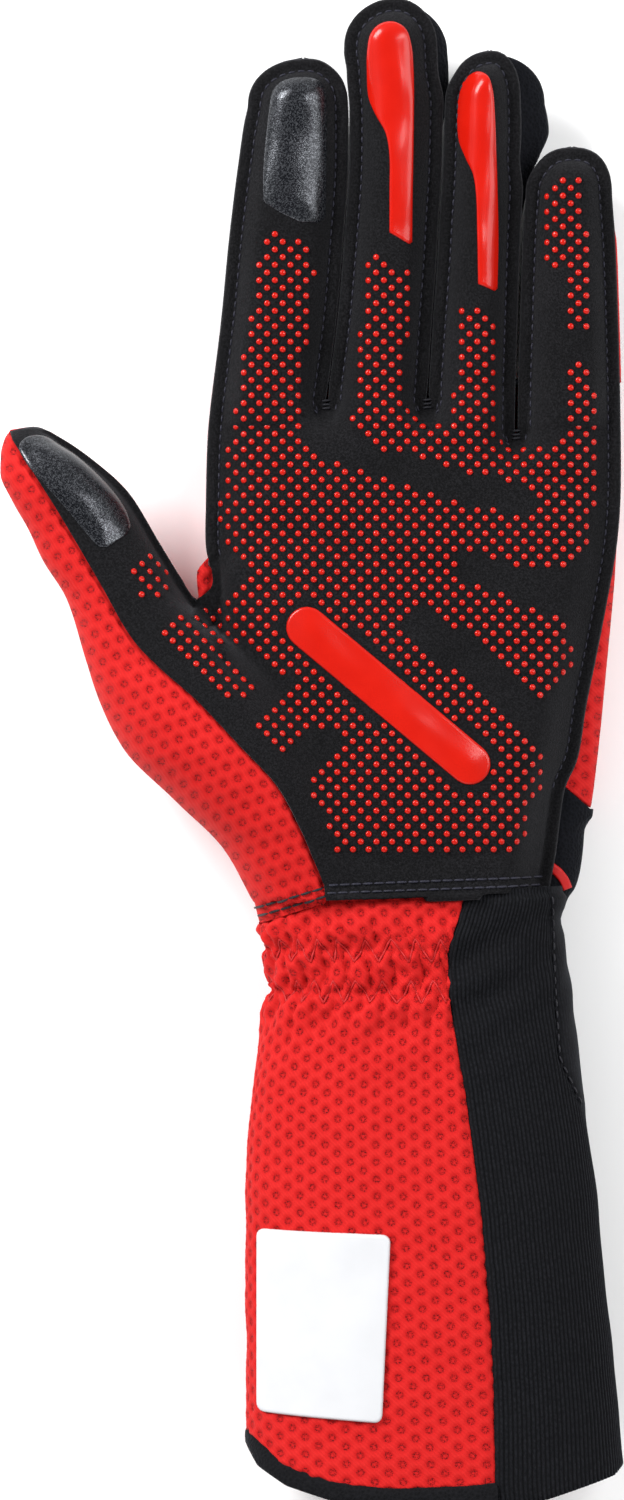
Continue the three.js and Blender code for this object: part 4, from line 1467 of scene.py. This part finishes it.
def cuff_grid(start_of, end_of, top_edge, bottom_edge, columns, rows, grade=1.0):
    """A grid over part of the cuff: u from one share of the way round to another, v from edge to edge."""
    u = np.linspace(0, 1, columns)[None, :]
    v = np.linspace(0, 1, rows)[:, None] ** grade
    y = FIRST_TOP - FIRST_LENGTH * v + 0 * u
    for _ in range(SETTLING_ROUNDS):
        share = start_of(y) + (end_of(y) - start_of(y)) * u
        turn = np.interp(share % 1.0, LOOP_SHARE, LOOP_TURN)
        x, z = cuff_point(turn, y)
        top = line_at(top_edge, x) + TUCK
        bottom = line_at(bottom_edge, x)
        y = top + (bottom - top) * v
    x, z = cuff_point(turn, y)
    return np.stack([x, y, z], axis=2), share, (top - y).ravel()


def tucked(points, normal, below_top):
    """Draws the uppermost strip of the cuff in, under the hand's edge."""
    return points - normal * (TUCK_DEPTH * (1 - smoothstep(below_top, TUCK - 0.4, TUCK + 1.6)))[:, None]


def rolled(points, normal, columns, width):
    """Turns the side edges of a cuff panel in, where the two panels are sewn together."""
    u = np.tile(np.linspace(0, 1, columns), len(points) // columns)
    away = np.minimum(u, 1 - u) * width
    return points - normal * (SEAM_ROLL * (1 - smoothstep(away, 0, 1.5)))[:, None]


def over_share(y):
    return np.interp(y, Y_TABLE, RIB_OVER)


def under_share(y):
    return np.interp(y, Y_TABLE, RIB_UNDER)


# Elastic sewn on with two rows of zigzag stitches draws the mesh up into puckers at the wrist
ELASTIC_ROWS = (-45.6, -55.0)
ZIGZAG_PERIOD = 6.3
ZIGZAG_HALF = 2.6
ZIGZAG_RADIUS = 0.28
ZIGZAG_LIFT = 0.1
ZIGZAG_INSET = 0.004
ZIGZAG_POINTS = 900
PUCKER_DEPTH = 2.3


def zigzag(u, row):
    """Height above its row's middle of a zigzag stitch line; the two rows mirror each other."""
    swing = 2 * np.abs((wandering(u) / ZIGZAG_PERIOD + 0.5 * row) % 1 * 2 - 1) - 1
    return ZIGZAG_HALF * swing


def wandering(u):
    """The way along the elastic, unevenly stretched."""
    return u + 0.9 * np.sin(0.17 * u + 0.6) + 0.35 * np.sin(0.61 * u)


def pucker(u, v, shift):
    """Rounded puffs with narrow creases between them, from 0 to 1."""
    lean = 0.7 * np.sin(0.23 * v + 0.31 * u) + 0.4 * np.sin(0.9 * v)
    phase = (wandering(u) + lean) / ZIGZAG_PERIOD + shift
    return np.abs(np.sin(math.pi * phase)) ** 0.5


def gathers(u, v):
    """Height of the wrist's puckers: between the rows, above them and in long folds below them."""
    first, second = ELASTIC_ROWS
    between = smoothstep(-v, -first - 1.0, -first + 1.5) * (1 - smoothstep(-v, -second - 1.5, -second + 1.0))
    above = (1 - smoothstep(-v, -first - 1.5, -first + 1.0)) * smoothstep(-v, 36.0, 42.0)
    fade = 0.5 + 0.5 * np.sin(0.37 * wandering(u) + 1.0)
    below = smoothstep(-v, -second - 1.0, -second + 1.5)
    below = below * (1 - smoothstep(-v, -second + 2, -second + 9 + 9 * fade))
    folds_up = between * pucker(u, v, 0.0) + 0.8 * (above + below) * pucker(u, v, 0.5)
    seams = sum(swell(v - at, zigzag(u, i), 0.8) for i, at in enumerate(ELASTIC_ROWS))
    drawn_in = swell(v, -50.2, 9.0)
    return PUCKER_DEPTH * folds_up - seams - 1.2 * drawn_in


def cuff_relief(u, v):
    """How far the mesh panel of the cuff stands out from its plain form."""
    return gathers(u, v) + 0.35 * undulation(u, v)


def cuff_panel(start_of, end_of, foot, columns, rows, grade=1.0):
    """A panel of the cuff in its plain form: points, quads, normals, way round and depth below the top."""
    grid, share, below_top = cuff_grid(start_of, end_of, WRIST_EDGE, foot, columns, rows, grade)
    points = grid.reshape(-1, 3)
    faces, normal = turned_to(points, grid_faces(rows, columns), points[:, 2] > ABOVE_CUFF, 2)
    return points, faces, normal, share, below_top


def sewn(points, normal, columns, width, below_top):
    """A panel with its side edges rolled in and its top tucked under the hand, resting on the floor."""
    points = tucked(rolled(points, normal, columns, width), normal, below_top)
    points[:, 2] = np.maximum(points[:, 2], 0)
    return points


def mesh_start(y):
    return over_share(y) + SEAM_GAP


def mesh_end(y):
    return under_share(y) - SEAM_GAP


def rib_start(y):
    return under_share(y) - 1 + SEAM_GAP


def rib_end(y):
    return over_share(y) - SEAM_GAP


def build_cuff_mesh():
    columns, rows, grade = CUFF_MESH_GRID
    panel = cuff_panel(mesh_start, mesh_end, HEM_TOP, columns, rows, grade)
    points, faces, normal, share, below_top = panel
    u = -share.ravel() * LOOP_LENGTH
    v = points[:, 1]
    points = points + normal * (cuff_relief(u, v) - mesh_dimples(u, v))[:, None]
    points = sewn(points, normal, columns, MESH_SHARE * LOOP_LENGTH, below_top)
    uv = np.column_stack([u, v])
    node = ["cuff_mesh_panel"]
    add_piece("cuff_mesh", points, faces, MESH_CLOTH, node, uv=uv, wall=MESH_WALL)


def cuff_surface(share, y, relief):
    """Points on the cuff by share of the way round and y, lifted by a relief in millimetres."""

    def at(s, v):
        turn = np.interp(s % 1.0, LOOP_SHARE, LOOP_TURN)
        x, z = cuff_point(turn, v)
        return np.stack([x, v, z], axis=-1)

    point = at(share, y)
    across = at(share + 0.002, y) - at(share - 0.002, y)
    along = at(share, y + 0.3) - at(share, y - 0.3)
    normal = unit(np.cross(across, along))
    from_core = point[:, 0::2] - np.array(CUFF_CORE)
    outward = np.sign(np.sum(normal[:, 0::2] * from_core, axis=-1))
    return point + normal * (outward * relief)[..., None]


def build_elastic_stitches():
    """Red zigzag threads over the wrist elastic, sunk in the cloth."""
    lines = []
    for i, row in enumerate(ELASTIC_ROWS):
        share = np.linspace(over_share(row) + ZIGZAG_INSET, under_share(row) - ZIGZAG_INSET, ZIGZAG_POINTS)
        u = -share * LOOP_LENGTH
        v = row + zigzag(u, i)
        lines.append(cuff_surface(share, v, cuff_relief(u, v) + ZIGZAG_LIFT))
    tubes("wrist_zigzag_stitches", lines, ZIGZAG_RADIUS, RED_THREAD)


def tubes(name, lines, radius, look, sides=6):
    """Round threads along lines in space, as one joined mesh."""
    points, faces, start = [], [], 0
    turn = np.linspace(0, 2 * math.pi, sides, endpoint=False)
    for line in lines:
        run = unit(np.gradient(line, axis=0))
        side = unit(np.cross(run, NEARLY_UP))
        up = np.cross(side, run)
        ring = (
            line[:, None]
            + radius * np.cos(turn)[None, :, None] * side[:, None]
            + radius * np.sin(turn)[None, :, None] * up[:, None]
        )
        ring[..., 2] = np.maximum(ring[..., 2], 0)
        points.append(ring.reshape(-1, 3))
        faces.append(grid_faces(len(line), sides, around=True) + start)
        start += len(line) * sides
    return add_piece(name, np.vstack(points), np.vstack(faces), look)


def build_cuff_rib():
    columns, rows = CUFF_RIB_GRID
    points, faces, normal, _, below_top = cuff_panel(rib_start, rib_end, MOUTH, columns, rows)
    x, y = points[:, 0], points[:, 1]
    u = np.tile(np.linspace(0, 1, columns), rows)
    ribs = round(RIB_SHARE * LOOP_LENGTH / RIB_PITCH)
    ridge = RIDGE_DEPTH * (np.abs(np.sin(math.pi * ribs * u)) ** 0.8 - 1) * (1 - plain_side(x, y))
    points = points + normal * (ridge + rib_relief(x, y))[:, None]
    points = sewn(points, normal, columns, RIB_SHARE * LOOP_LENGTH, below_top)
    uv = np.column_stack([ribs * u, points[:, 1]])
    node = ["cuff_rib_panel"]
    add_piece("cuff_rib", points, faces, RIB_KNIT, node, uv=uv, wall=MESH_WALL)


def side_seam_away(x, y):
    """Distance to the right of the rib's side seam, in plan."""
    return x - np.interp(y, SIDE_SEAM["y"][::-1], SIDE_SEAM["x"][::-1])


def plain_side(x, y):
    """Where the knit at the little-finger side is smooth, from 0 to 1."""
    return smoothstep(side_seam_away(x, y), -0.1, 0.3)


def rib_relief(x, y):
    """Soft waves of the rib panel and the groove of its side seam."""
    waves = 0.3 * undulation(x * 0.6, y * 0.8)
    waist = swell(y, -38.8, 2.6) * smoothstep(x, 50, 57)
    return waves - waist - 0.45 * swell(side_seam_away(x, y), 0, 0.6)


def build_hem():
    """Folded binding round the mouth of the mesh panel."""
    u = np.linspace(0, 1, HEM_COLUMNS)
    y = np.full(HEM_COLUMNS, FIRST_HEM)
    for _ in range(SETTLING_ROUNDS):
        share = over_share(y) + SEAM_GAP + (under_share(y) - over_share(y) - 2 * SEAM_GAP) * u
        turn = np.interp(share, LOOP_SHARE, LOOP_TURN)
        x, _ = cuff_point(turn, y)
        y = line_at(MOUTH, x)
    band = line_at(HEM_TOP, x) - y
    rings = []
    for angle in np.linspace(0, 2 * math.pi, HEM_SIDES, endpoint=False):
        out = -0.75 + 1.25 * signed_power(np.cos(angle), 0.7)
        at = y + (0.5 + 0.5 * signed_power(np.sin(angle), 0.6)) * (band + 0.4)
        x, z = cuff_point(turn, at)
        away_x, away_z = x - HEM_CORE[0], z - HEM_CORE[1]
        size = np.hypot(away_x, away_z)
        rings.append(np.column_stack([x + away_x / size * out, at, np.maximum(z + away_z / size * out, 0)]))
    points = np.array(rings).transpose(1, 0, 2).reshape(-1, 3)
    faces = grid_faces(HEM_COLUMNS, len(rings), around=True)
    add_piece("hem_tape", points, faces, BINDING, ["hem_binding"])


# Raised prints, pads and the label
PATCH_ROWS = (0.12, 0.28, 0.5, 0.8, 1.2)
PATCH_EDGE = 0.6
PATCH_SINK = 0.05
DOME_REACH = 5


def print_outline(side, foot):
    """A closed outline: a smooth line up one side, over the top and down, and a foot of straight lines."""
    smooth = smooth_line(side, 0.6)
    straight = resample([side[-1], *foot, side[0]], 0.6)[1:-1]
    return np.vstack([smooth, straight])


def raised_patch(name, outline, surface, thickness, look, node, spacing=0.9, dome=0.0):
    """A thin film that follows the surface below, with a rounded edge."""
    plan, faces = plan_mesh(outline, spacing, PATCH_ROWS)
    away = distance_to(plan, [closed(outline)])
    height = surface(plan[:, 0], plan[:, 1])
    rise = thickness * quarter_round(away, PATCH_EDGE) + dome * smoothstep(away, 0, DOME_REACH) - PATCH_SINK
    points = np.column_stack([plan, height + rise])
    return add_piece(name, points, faces, look, [node], wall=PRINT_WALL)


def grip_bar_outline():
    half, end = GRIP_BAR["length"] / 2, GRIP_BAR["width"] / 2
    turn = np.linspace(-math.pi / 2, math.pi / 2, 15)
    right = np.column_stack([half - end + end * np.cos(turn), end * np.sin(turn)])
    bar = resample(closed(np.vstack([right, -right])), 0.7)[:-1]
    cos, sin = math.cos(GRIP_BAR["lean"]), math.sin(GRIP_BAR["lean"])
    x = GRIP_BAR["x"] + bar[:, 0] * cos - bar[:, 1] * sin
    y = GRIP_BAR["y"] + bar[:, 0] * sin + bar[:, 1] * cos
    return np.column_stack([x, y])


def label_outline():
    """The label's sides lean with the cuff."""
    left, right, top, bottom = LABEL["left"], LABEL["right"], LABEL["top"], LABEL["bottom"]
    corner = LABEL["corner"]
    corners = [(right, bottom), (right, top), (left, top), (left, bottom)]
    inset = [(-1, 1), (-1, -1), (1, -1), (1, 1)]
    points = []
    for i, ((x, y), (sx, sy)) in enumerate(zip(corners, inset)):
        turn = np.linspace(0, math.pi / 2, 6) + (i - 1) * math.pi / 2
        middle_x, middle_y = x + sx * corner, y + sy * corner
        points.append(np.column_stack([middle_x + corner * np.cos(turn), middle_y + corner * np.sin(turn)]))
    card = resample(closed(np.vstack(points)), 0.7)[:-1]
    down = (top - card[:, 1]) / (top - bottom)
    along = (card[:, 0] - left) / (right - left)
    return np.column_stack([card[:, 0] - LABEL["lean"] * down * along, card[:, 1] - along * (1 + down)])


def cuff_top(x, y):
    """Outside of the cuff's upper side."""
    return upper(cuff_section(y), x, y) + 0.1


def build_patches():
    pads = [
        ("index_touch_pad", "index_pad", INDEX_PAD, INDEX_PAD_FOOT),
        ("thumb_touch_pad", "thumb_pad", THUMB_PAD, THUMB_PAD_FOOT),
    ]
    stripes = [
        ("middle_red_stripe", "middle_grip_stripe", MIDDLE_STRIPE, MIDDLE_STRIPE_FOOT),
        ("ring_red_stripe", "ring_grip_stripe", RING_STRIPE, RING_STRIPE_FOOT),
    ]
    for name, node, side, foot in pads:
        raised_patch(name, print_outline(side, foot), front_top, 0.35, PAD, node, dome=0.5)
    for name, node, side, foot in stripes:
        raised_patch(name, print_outline(side, foot), front_top, 0.4, PRINT, node)
    bar = grip_bar_outline()
    raised_patch("palm_red_bar", bar, front_top, 0.5, PRINT, "palm_grip_bar", dome=0.3)
    raised_patch("blank_label", label_outline(), cuff_top, 0.9, LABEL_FILM, "label_patch")


# Raised grip dots, in zones drawn in the photograph's pixels
DOT_PITCH_X = 15.5
DOT_PITCH_Y = 15.3
DOT_RADIUS = 0.73
DOT_EDGE = 2.1
DOT_CLEARANCE = 0.25
DOT_FIELD_X = (120, 610)
DOT_FIELD_Y = (160, 870)
DOT_HEIGHT = 0.45
DOT_SIDES = 10
DOT_RINGS = [(1.0, -0.15), (0.97, 0.18), (0.78, 0.36), (0.42, 0.47)]
DOT_ZONES = {
    "index_and_palm": [
        (262, 245), (275, 234), (300, 244), (316, 262), (309, 330), (304, 370), (300, 405), (303, 440),
        (325, 462), (351, 469), (376, 477), (402, 484), (427, 492), (453, 500), (478, 507), (504, 515),
        (524, 517), (552, 500), (587, 512), (588, 548), (570, 563), (549, 574), (524, 568), (498, 561),
        (473, 556), (453, 558), (455, 570), (458, 584), (468, 584), (493, 591), (519, 604), (544, 614),
        (565, 624), (573, 645), (570, 670), (560, 686), (542, 696), (531, 698), (519, 680), (483, 652),
        (453, 627), (422, 604), (408, 612), (401, 624), (404, 634), (422, 650), (453, 670), (478, 696),
        (514, 726), (529, 736), (542, 757), (540, 787), (529, 813), (524, 838), (514, 855), (336, 855),
        (328, 836), (323, 817), (317, 801), (308, 787), (304, 777), (319, 766), (334, 756), (347, 747),
        (342, 738), (331, 728), (319, 727), (309, 736), (293, 748), (281, 755), (272, 746), (264, 736),
        (256, 723), (264, 710), (281, 698), (291, 690), (294, 680), (283, 674), (274, 668), (264, 660),
        (256, 651), (238, 648), (221, 650), (238, 665), (254, 678), (254, 690), (242, 700), (230, 704),
        (208, 687), (190, 669), (176, 650), (165, 636), (171, 625), (184, 612), (201, 611), (213, 608),
        (225, 603), (233, 597), (239, 592), (242, 581), (248, 573), (248, 565), (236, 553), (226, 540),
        (219, 520), (225, 460), (236, 400), (249, 330), (258, 262),
    ],
    "middle": [
        (366, 268), (377, 258), (396, 266), (410, 275), (408, 340), (399, 395), (407, 410), (432, 423),
        (453, 428), (493, 432), (504, 441), (529, 447), (560, 444), (562, 470), (548, 503), (534, 497),
        (519, 489), (504, 484), (478, 477), (453, 472), (427, 464), (402, 456), (376, 449), (356, 438),
        (352, 426), (354, 400), (360, 330),
    ],
    "ring": [(457, 312), (468, 306), (497, 320), (496, 380), (494, 433), (453, 430), (452, 424), (454, 360)],
    "little": [
        (546, 184), (560, 172), (580, 182), (585, 230), (586, 330), (566, 330), (563, 272), (545, 268),
    ],
    "little_root": [(562, 366), (590, 362), (596, 420), (594, 500), (588, 530), (552, 502), (562, 440)],
    "thumb": [
        (131, 566), (140, 556), (158, 549), (172, 560), (184, 574), (178, 590), (160, 606), (138, 596),
    ],
}


def plan_of(pixels):
    pixels = np.array(pixels, float)
    return np.column_stack([(pixels[:, 0] - PHOTO_CENTRE[0]) * PX, (PHOTO_CENTRE[1] - pixels[:, 1]) * PX])


def dot_places():
    rows = np.arange(*DOT_FIELD_Y, DOT_PITCH_Y / 2)
    places = []
    for i, y in enumerate(rows):
        x = np.arange(*DOT_FIELD_X, DOT_PITCH_X) + (i % 2) * DOT_PITCH_X / 2
        places.append(np.column_stack([x, np.full(len(x), y)]))
    places = np.vstack(places)
    keep = np.zeros(len(places), bool)
    for zone in DOT_ZONES.values():
        keep |= inside(places, np.array(zone, float))
    spots = plan_of(places[keep])
    bar = grip_bar_outline()
    clear = ~inside(spots, bar) & (distance_to(spots, [closed(bar)]) > DOT_RADIUS + DOT_CLEARANCE)
    clear &= distance_to(spots, [closed(front_outline)]) > DOT_EDGE
    return spots[clear]


def surface_frame(spots, surface):
    """Point and normal of a surface at each place in plan."""
    step = 0.25
    x, y = spots[:, 0], spots[:, 1]
    z = surface(x, y)
    slope_x = (surface(x + step, y) - surface(x - step, y)) / (2 * step)
    slope_y = (surface(x, y + step) - surface(x, y - step)) / (2 * step)
    normal = unit(np.column_stack([-slope_x, -slope_y, np.ones(len(x))]))
    return np.column_stack([x, y, z]), normal


def add_copies(name, points, quads, caps, look):
    """One mesh of many copies of a small form; the points hold a row for each copy."""
    copies, size = points.shape[:2]
    shift = (np.arange(copies) * size)[:, None, None]
    faces = [(part[None] + shift).reshape(-1, part.shape[1]) for part in (quads, caps)]
    add_piece(name, points.reshape(-1, 3), faces, look)


def build_dots():
    base, normal = surface_frame(dot_places(), front_top)
    side = unit(np.cross([0.0, 1.0, 0.0], normal))
    up = np.cross(normal, side)
    turn = np.linspace(0, 2 * math.pi, DOT_SIDES, endpoint=False)
    form = []
    for reach, height in DOT_RINGS:
        ring = np.column_stack([np.cos(turn), np.sin(turn)]) * reach * DOT_RADIUS
        form.append(np.column_stack([ring, np.full(DOT_SIDES, height * DOT_HEIGHT / DOT_RINGS[-1][1])]))
    form = np.vstack([*form, [[0, 0, DOT_HEIGHT]]])
    quads = grid_faces(len(DOT_RINGS), DOT_SIDES, around=True)
    top = len(form) - 1
    last = top - DOT_SIDES
    caps = np.array([(last + i, last + (i + 1) % DOT_SIDES, top) for i in range(DOT_SIDES)])
    points = (
        base[:, None, :]
        + form[None, :, 0, None] * side[:, None, :]
        + form[None, :, 1, None] * up[:, None, :]
        + form[None, :, 2, None] * normal[:, None, :]
    )
    add_copies("grip_dots", points, quads, caps, PRINT)


# Stitches: place along the thread, share of its radius and depth in the cloth, ring by ring
STITCH_SIDES = 6
STITCH_STEP = 0.2
STITCH_RINGS = [(-0.5, 0.35, 0.28), (-0.38, 0.85, 0.08), (0, 1, 0), (0.38, 0.85, 0.08), (0.5, 0.35, 0.28)]
SLIT_LOOP = 2.5
TACK_HALF = 1.1
TACK_HEIGHTS = (-0.7, 0.2, 1.1)
BARE_CROTCH = (-10, 44)
BARE_TAB = (50, -9)

# Two rows at the wrist, in the photograph's pixels, and two at the base of the thumb, in plan
WRIST_ROWS = [[(328, 884), (440, 879.5), (547, 876)], [(326, 892), (440, 888), (549, 884)]]
THUMB_BASE_ROWS = [[(-13.2, -36.2), (3.0, -31.2)], [(-12.4, -38.0), (3.4, -33.1)]]


def inset_paths(outline, inset, spacing=0.4):
    """Lines at an even distance inside a closed outline, broken where the shape is too narrow."""
    dense = resample(closed(outline), spacing)[:-1]
    turn = inward(dense)
    points = dense + turn * inset
    fit = distance_to(points, [closed(outline)]) > inset - 0.08
    paths, path = [], []
    for point, good in zip(points, fit):
        if good and (not path or np.hypot(*(point - path[-1])) < 3.5):
            path.append(point)
        elif path:
            paths.append(np.array(path))
            path = [point] if good else []
    if path:
        paths.append(np.array(path))
    return [p for p in paths if len(p) > 6]


def stitches(name, paths, surface, look, lift=0.16, length=1.7, radius=0.24, gap=0.8):
    """Short sunken threads along paths in plan, as one joined mesh."""
    starts, ends = [], []
    for path in paths:
        line = resample(path, STITCH_STEP)
        step = max(1, int(round((length + gap) / STITCH_STEP)))
        run = max(1, int(round(length / STITCH_STEP)))
        for i in range(0, max(1, len(line) - run), step):
            starts.append(line[i])
            ends.append(line[min(i + run, len(line) - 1)])
    starts, ends = np.array(starts), np.array(ends)
    base, normal = surface_frame((starts + ends) / 2, surface)
    rise = surface(ends[:, 0], ends[:, 1]) - surface(starts[:, 0], starts[:, 1])
    along = np.column_stack([ends - starts, rise])
    size = np.linalg.norm(along, axis=1)
    along /= size[:, None]
    side = unit(np.cross(normal, along))
    blocks = []
    for at, reach, sink in STITCH_RINGS:
        for angle in np.linspace(0, 2 * math.pi, STITCH_SIDES, endpoint=False):
            offset = (
                along * (at * size)[:, None]
                + side * (radius * reach * math.cos(angle))
                + normal * (radius * reach * math.sin(angle) + lift - sink)
            )
            blocks.append(base + offset)
    count = len(blocks)
    quads = grid_faces(len(STITCH_RINGS), STITCH_SIDES, around=True)
    caps = np.array([list(range(STITCH_SIDES))[::-1], list(range(count - STITCH_SIDES, count))])
    add_copies(name, np.array(blocks).transpose(1, 0, 2), quads, caps, look)


def seam_paths():
    """The seam's stitches along the suede's free edge, and a loop of them round the end of each slit."""
    kept = []
    for path in inset_paths(front_outline, STITCH_INSET):
        x, y = path[:, 0], path[:, 1]
        near_free = distance_to(path, free_edges) < STITCH_INSET + 0.2
        at_crotch = (x < BARE_CROTCH[0]) & (y < BARE_CROTCH[1])
        at_tab = (x > BARE_TAB[0]) & (y < BARE_TAB[1])
        sewn_here = near_free & ~at_crotch & ~at_tab
        breaks = np.where(np.diff(sewn_here.astype(int)) != 0)[0] + 1
        runs, flags = np.split(path, breaks), np.split(sewn_here, breaks)
        kept += [run for run, flag in zip(runs, flags) if flag[0] and len(run) > 8]
    turn = np.linspace(-0.15, math.pi + 0.15, 30)
    for x, y in CROTCHES:
        kept.append(np.column_stack([x + SLIT_LOOP * np.cos(turn), y - SLIT_LOOP * np.sin(turn)]))
    return kept


def tack_paths():
    """Short threads across the end of each slit."""
    paths = []
    for x, y in CROTCHES:
        for up in TACK_HEIGHTS:
            paths.append(np.array([(x - TACK_HALF, y + up - 0.1), (x + TACK_HALF, y + up + 0.15)]))
    return paths


def build_stitches():
    stitches("front_seam_stitches", seam_paths(), front_top, THREAD, gap=0.6)
    stitches("slit_end_tacks", tack_paths(), front_top, BLACK_THREAD, lift=0.3, length=2.2, radius=0.3)
    rows = [resample(plan_of(row), 0.5) for row in WRIST_ROWS]
    stitches("wrist_stitches", rows, front_top, THREAD, lift=0.2, length=2.4, radius=0.3, gap=0.3)
    rows = [resample(row, 0.5) for row in THUMB_BASE_ROWS]
    stitches("thumb_base_stitches", rows, red_top, BLACK_THREAD, lift=0.25, length=2.6, radius=0.3, gap=0.2)
    rows = [resample(line_points(SIDE_SEAM)[1:5], 0.5)]
    stitches("rib_seam_stitches", rows, rib_top, BLACK_THREAD, length=1.8, radius=0.25)


def rib_top(x, y):
    """Outside of the rib panel's upper side."""
    return cuff_top(x, y) + rib_relief(x, y)


# Brightness of the tent round the glove by the height of the direction, darker straight above
SKY = [(0.60, (0.68, 0.68, 0.68)), (0.86, (0.40, 0.40, 0.41)), (0.97, (0.15, 0.15, 0.16))]
FLOOR_SIDE = 2.2
FLOOR_Z = -0.00005
LENS = 180
SENSOR = 36
GLOVE_MIDDLE_Z = 0.017
PHOTO_HEIGHT = 1500
AIM_HEIGHT = 0.02

# Soft lights in metres: place, the point in plan that they aim at, width, height and power
LIGHTS = [
    (-0.8, 0.7, 0.7, 0.0, 0.0, 0.6, 0.5, 24),
    (0.85, 0.3, 0.75, 0.02, 0.0, 0.6, 0.8, 8),
    (-0.2, -0.9, 0.8, 0.0, -0.05, 0.9, 0.5, 3),
    (0.42, 0.35, 1.0, 0.0, 0.12, 0.12, 0.4, 2.5),
]


def build_floor():
    line = np.linspace(-FLOOR_SIDE / 2, FLOOR_SIDE / 2, 9)
    points = [(x, y, FLOOR_Z) for y in line for x in line]
    mesh = bpy.data.meshes.new("studio_floor")
    mesh.from_pydata(points, [], grid_faces(9, 9).tolist())
    mesh.materials.append(floor_look())
    placed("studio_floor", mesh)


def build_sky():
    world = bpy.data.worlds.new("studio")
    bpy.context.scene.world = world
    world.use_nodes = True
    wiring = Wiring(world.node_tree)
    background = wiring.nodes["Background"].inputs
    background["Strength"].default_value = 1.0
    direction = wiring.split(wiring.add("TexCoord").outputs["Generated"])
    wiring.feed(background["Color"], wiring.ramp(direction["Z"], SKY))


def build_lamps():
    for i, (x, y, z, aim_x, aim_y, width, height, power) in enumerate(LIGHTS):
        data = bpy.data.lights.new(f"softbox_{i}", "AREA")
        data.shape = "RECTANGLE"
        data.size = width
        data.size_y = height
        data.energy = power
        lamp = placed(f"softbox_{i}", data)
        lamp.location = (x, y, z)
        aim = Vector((aim_x, aim_y, AIM_HEIGHT)) - Vector(lamp.location)
        lamp.rotation_euler = aim.to_track_quat("-Z", "Y").to_euler()


def build_camera():
    data = bpy.data.cameras.new("camera")
    data.lens = LENS
    data.sensor_width = SENSOR
    data.clip_end = 20
    camera = placed("camera", data)
    camera.location = (0.0001, 0.0001, GLOVE_MIDDLE_Z + PHOTO_HEIGHT * PX * MM * LENS / SENSOR)
    scene = bpy.context.scene
    scene.camera = camera
    scene.view_settings.view_transform = "Standard"
    scene.view_settings.look = "None"


build_camera()
build_floor()
build_sky()
build_lamps()
build_front()
for finger in FINGERS:
    build_finger_back(finger)
build_little_side()
build_finger_webs()
build_hand_back()
build_thumb_side()
build_right_lip()
build_left_flap()
build_wrist_tab()
build_wrist_band()
build_cuff_mesh()
build_elastic_stitches()
build_cuff_rib()
build_hem()
build_patches()
build_dots()
build_stitches()
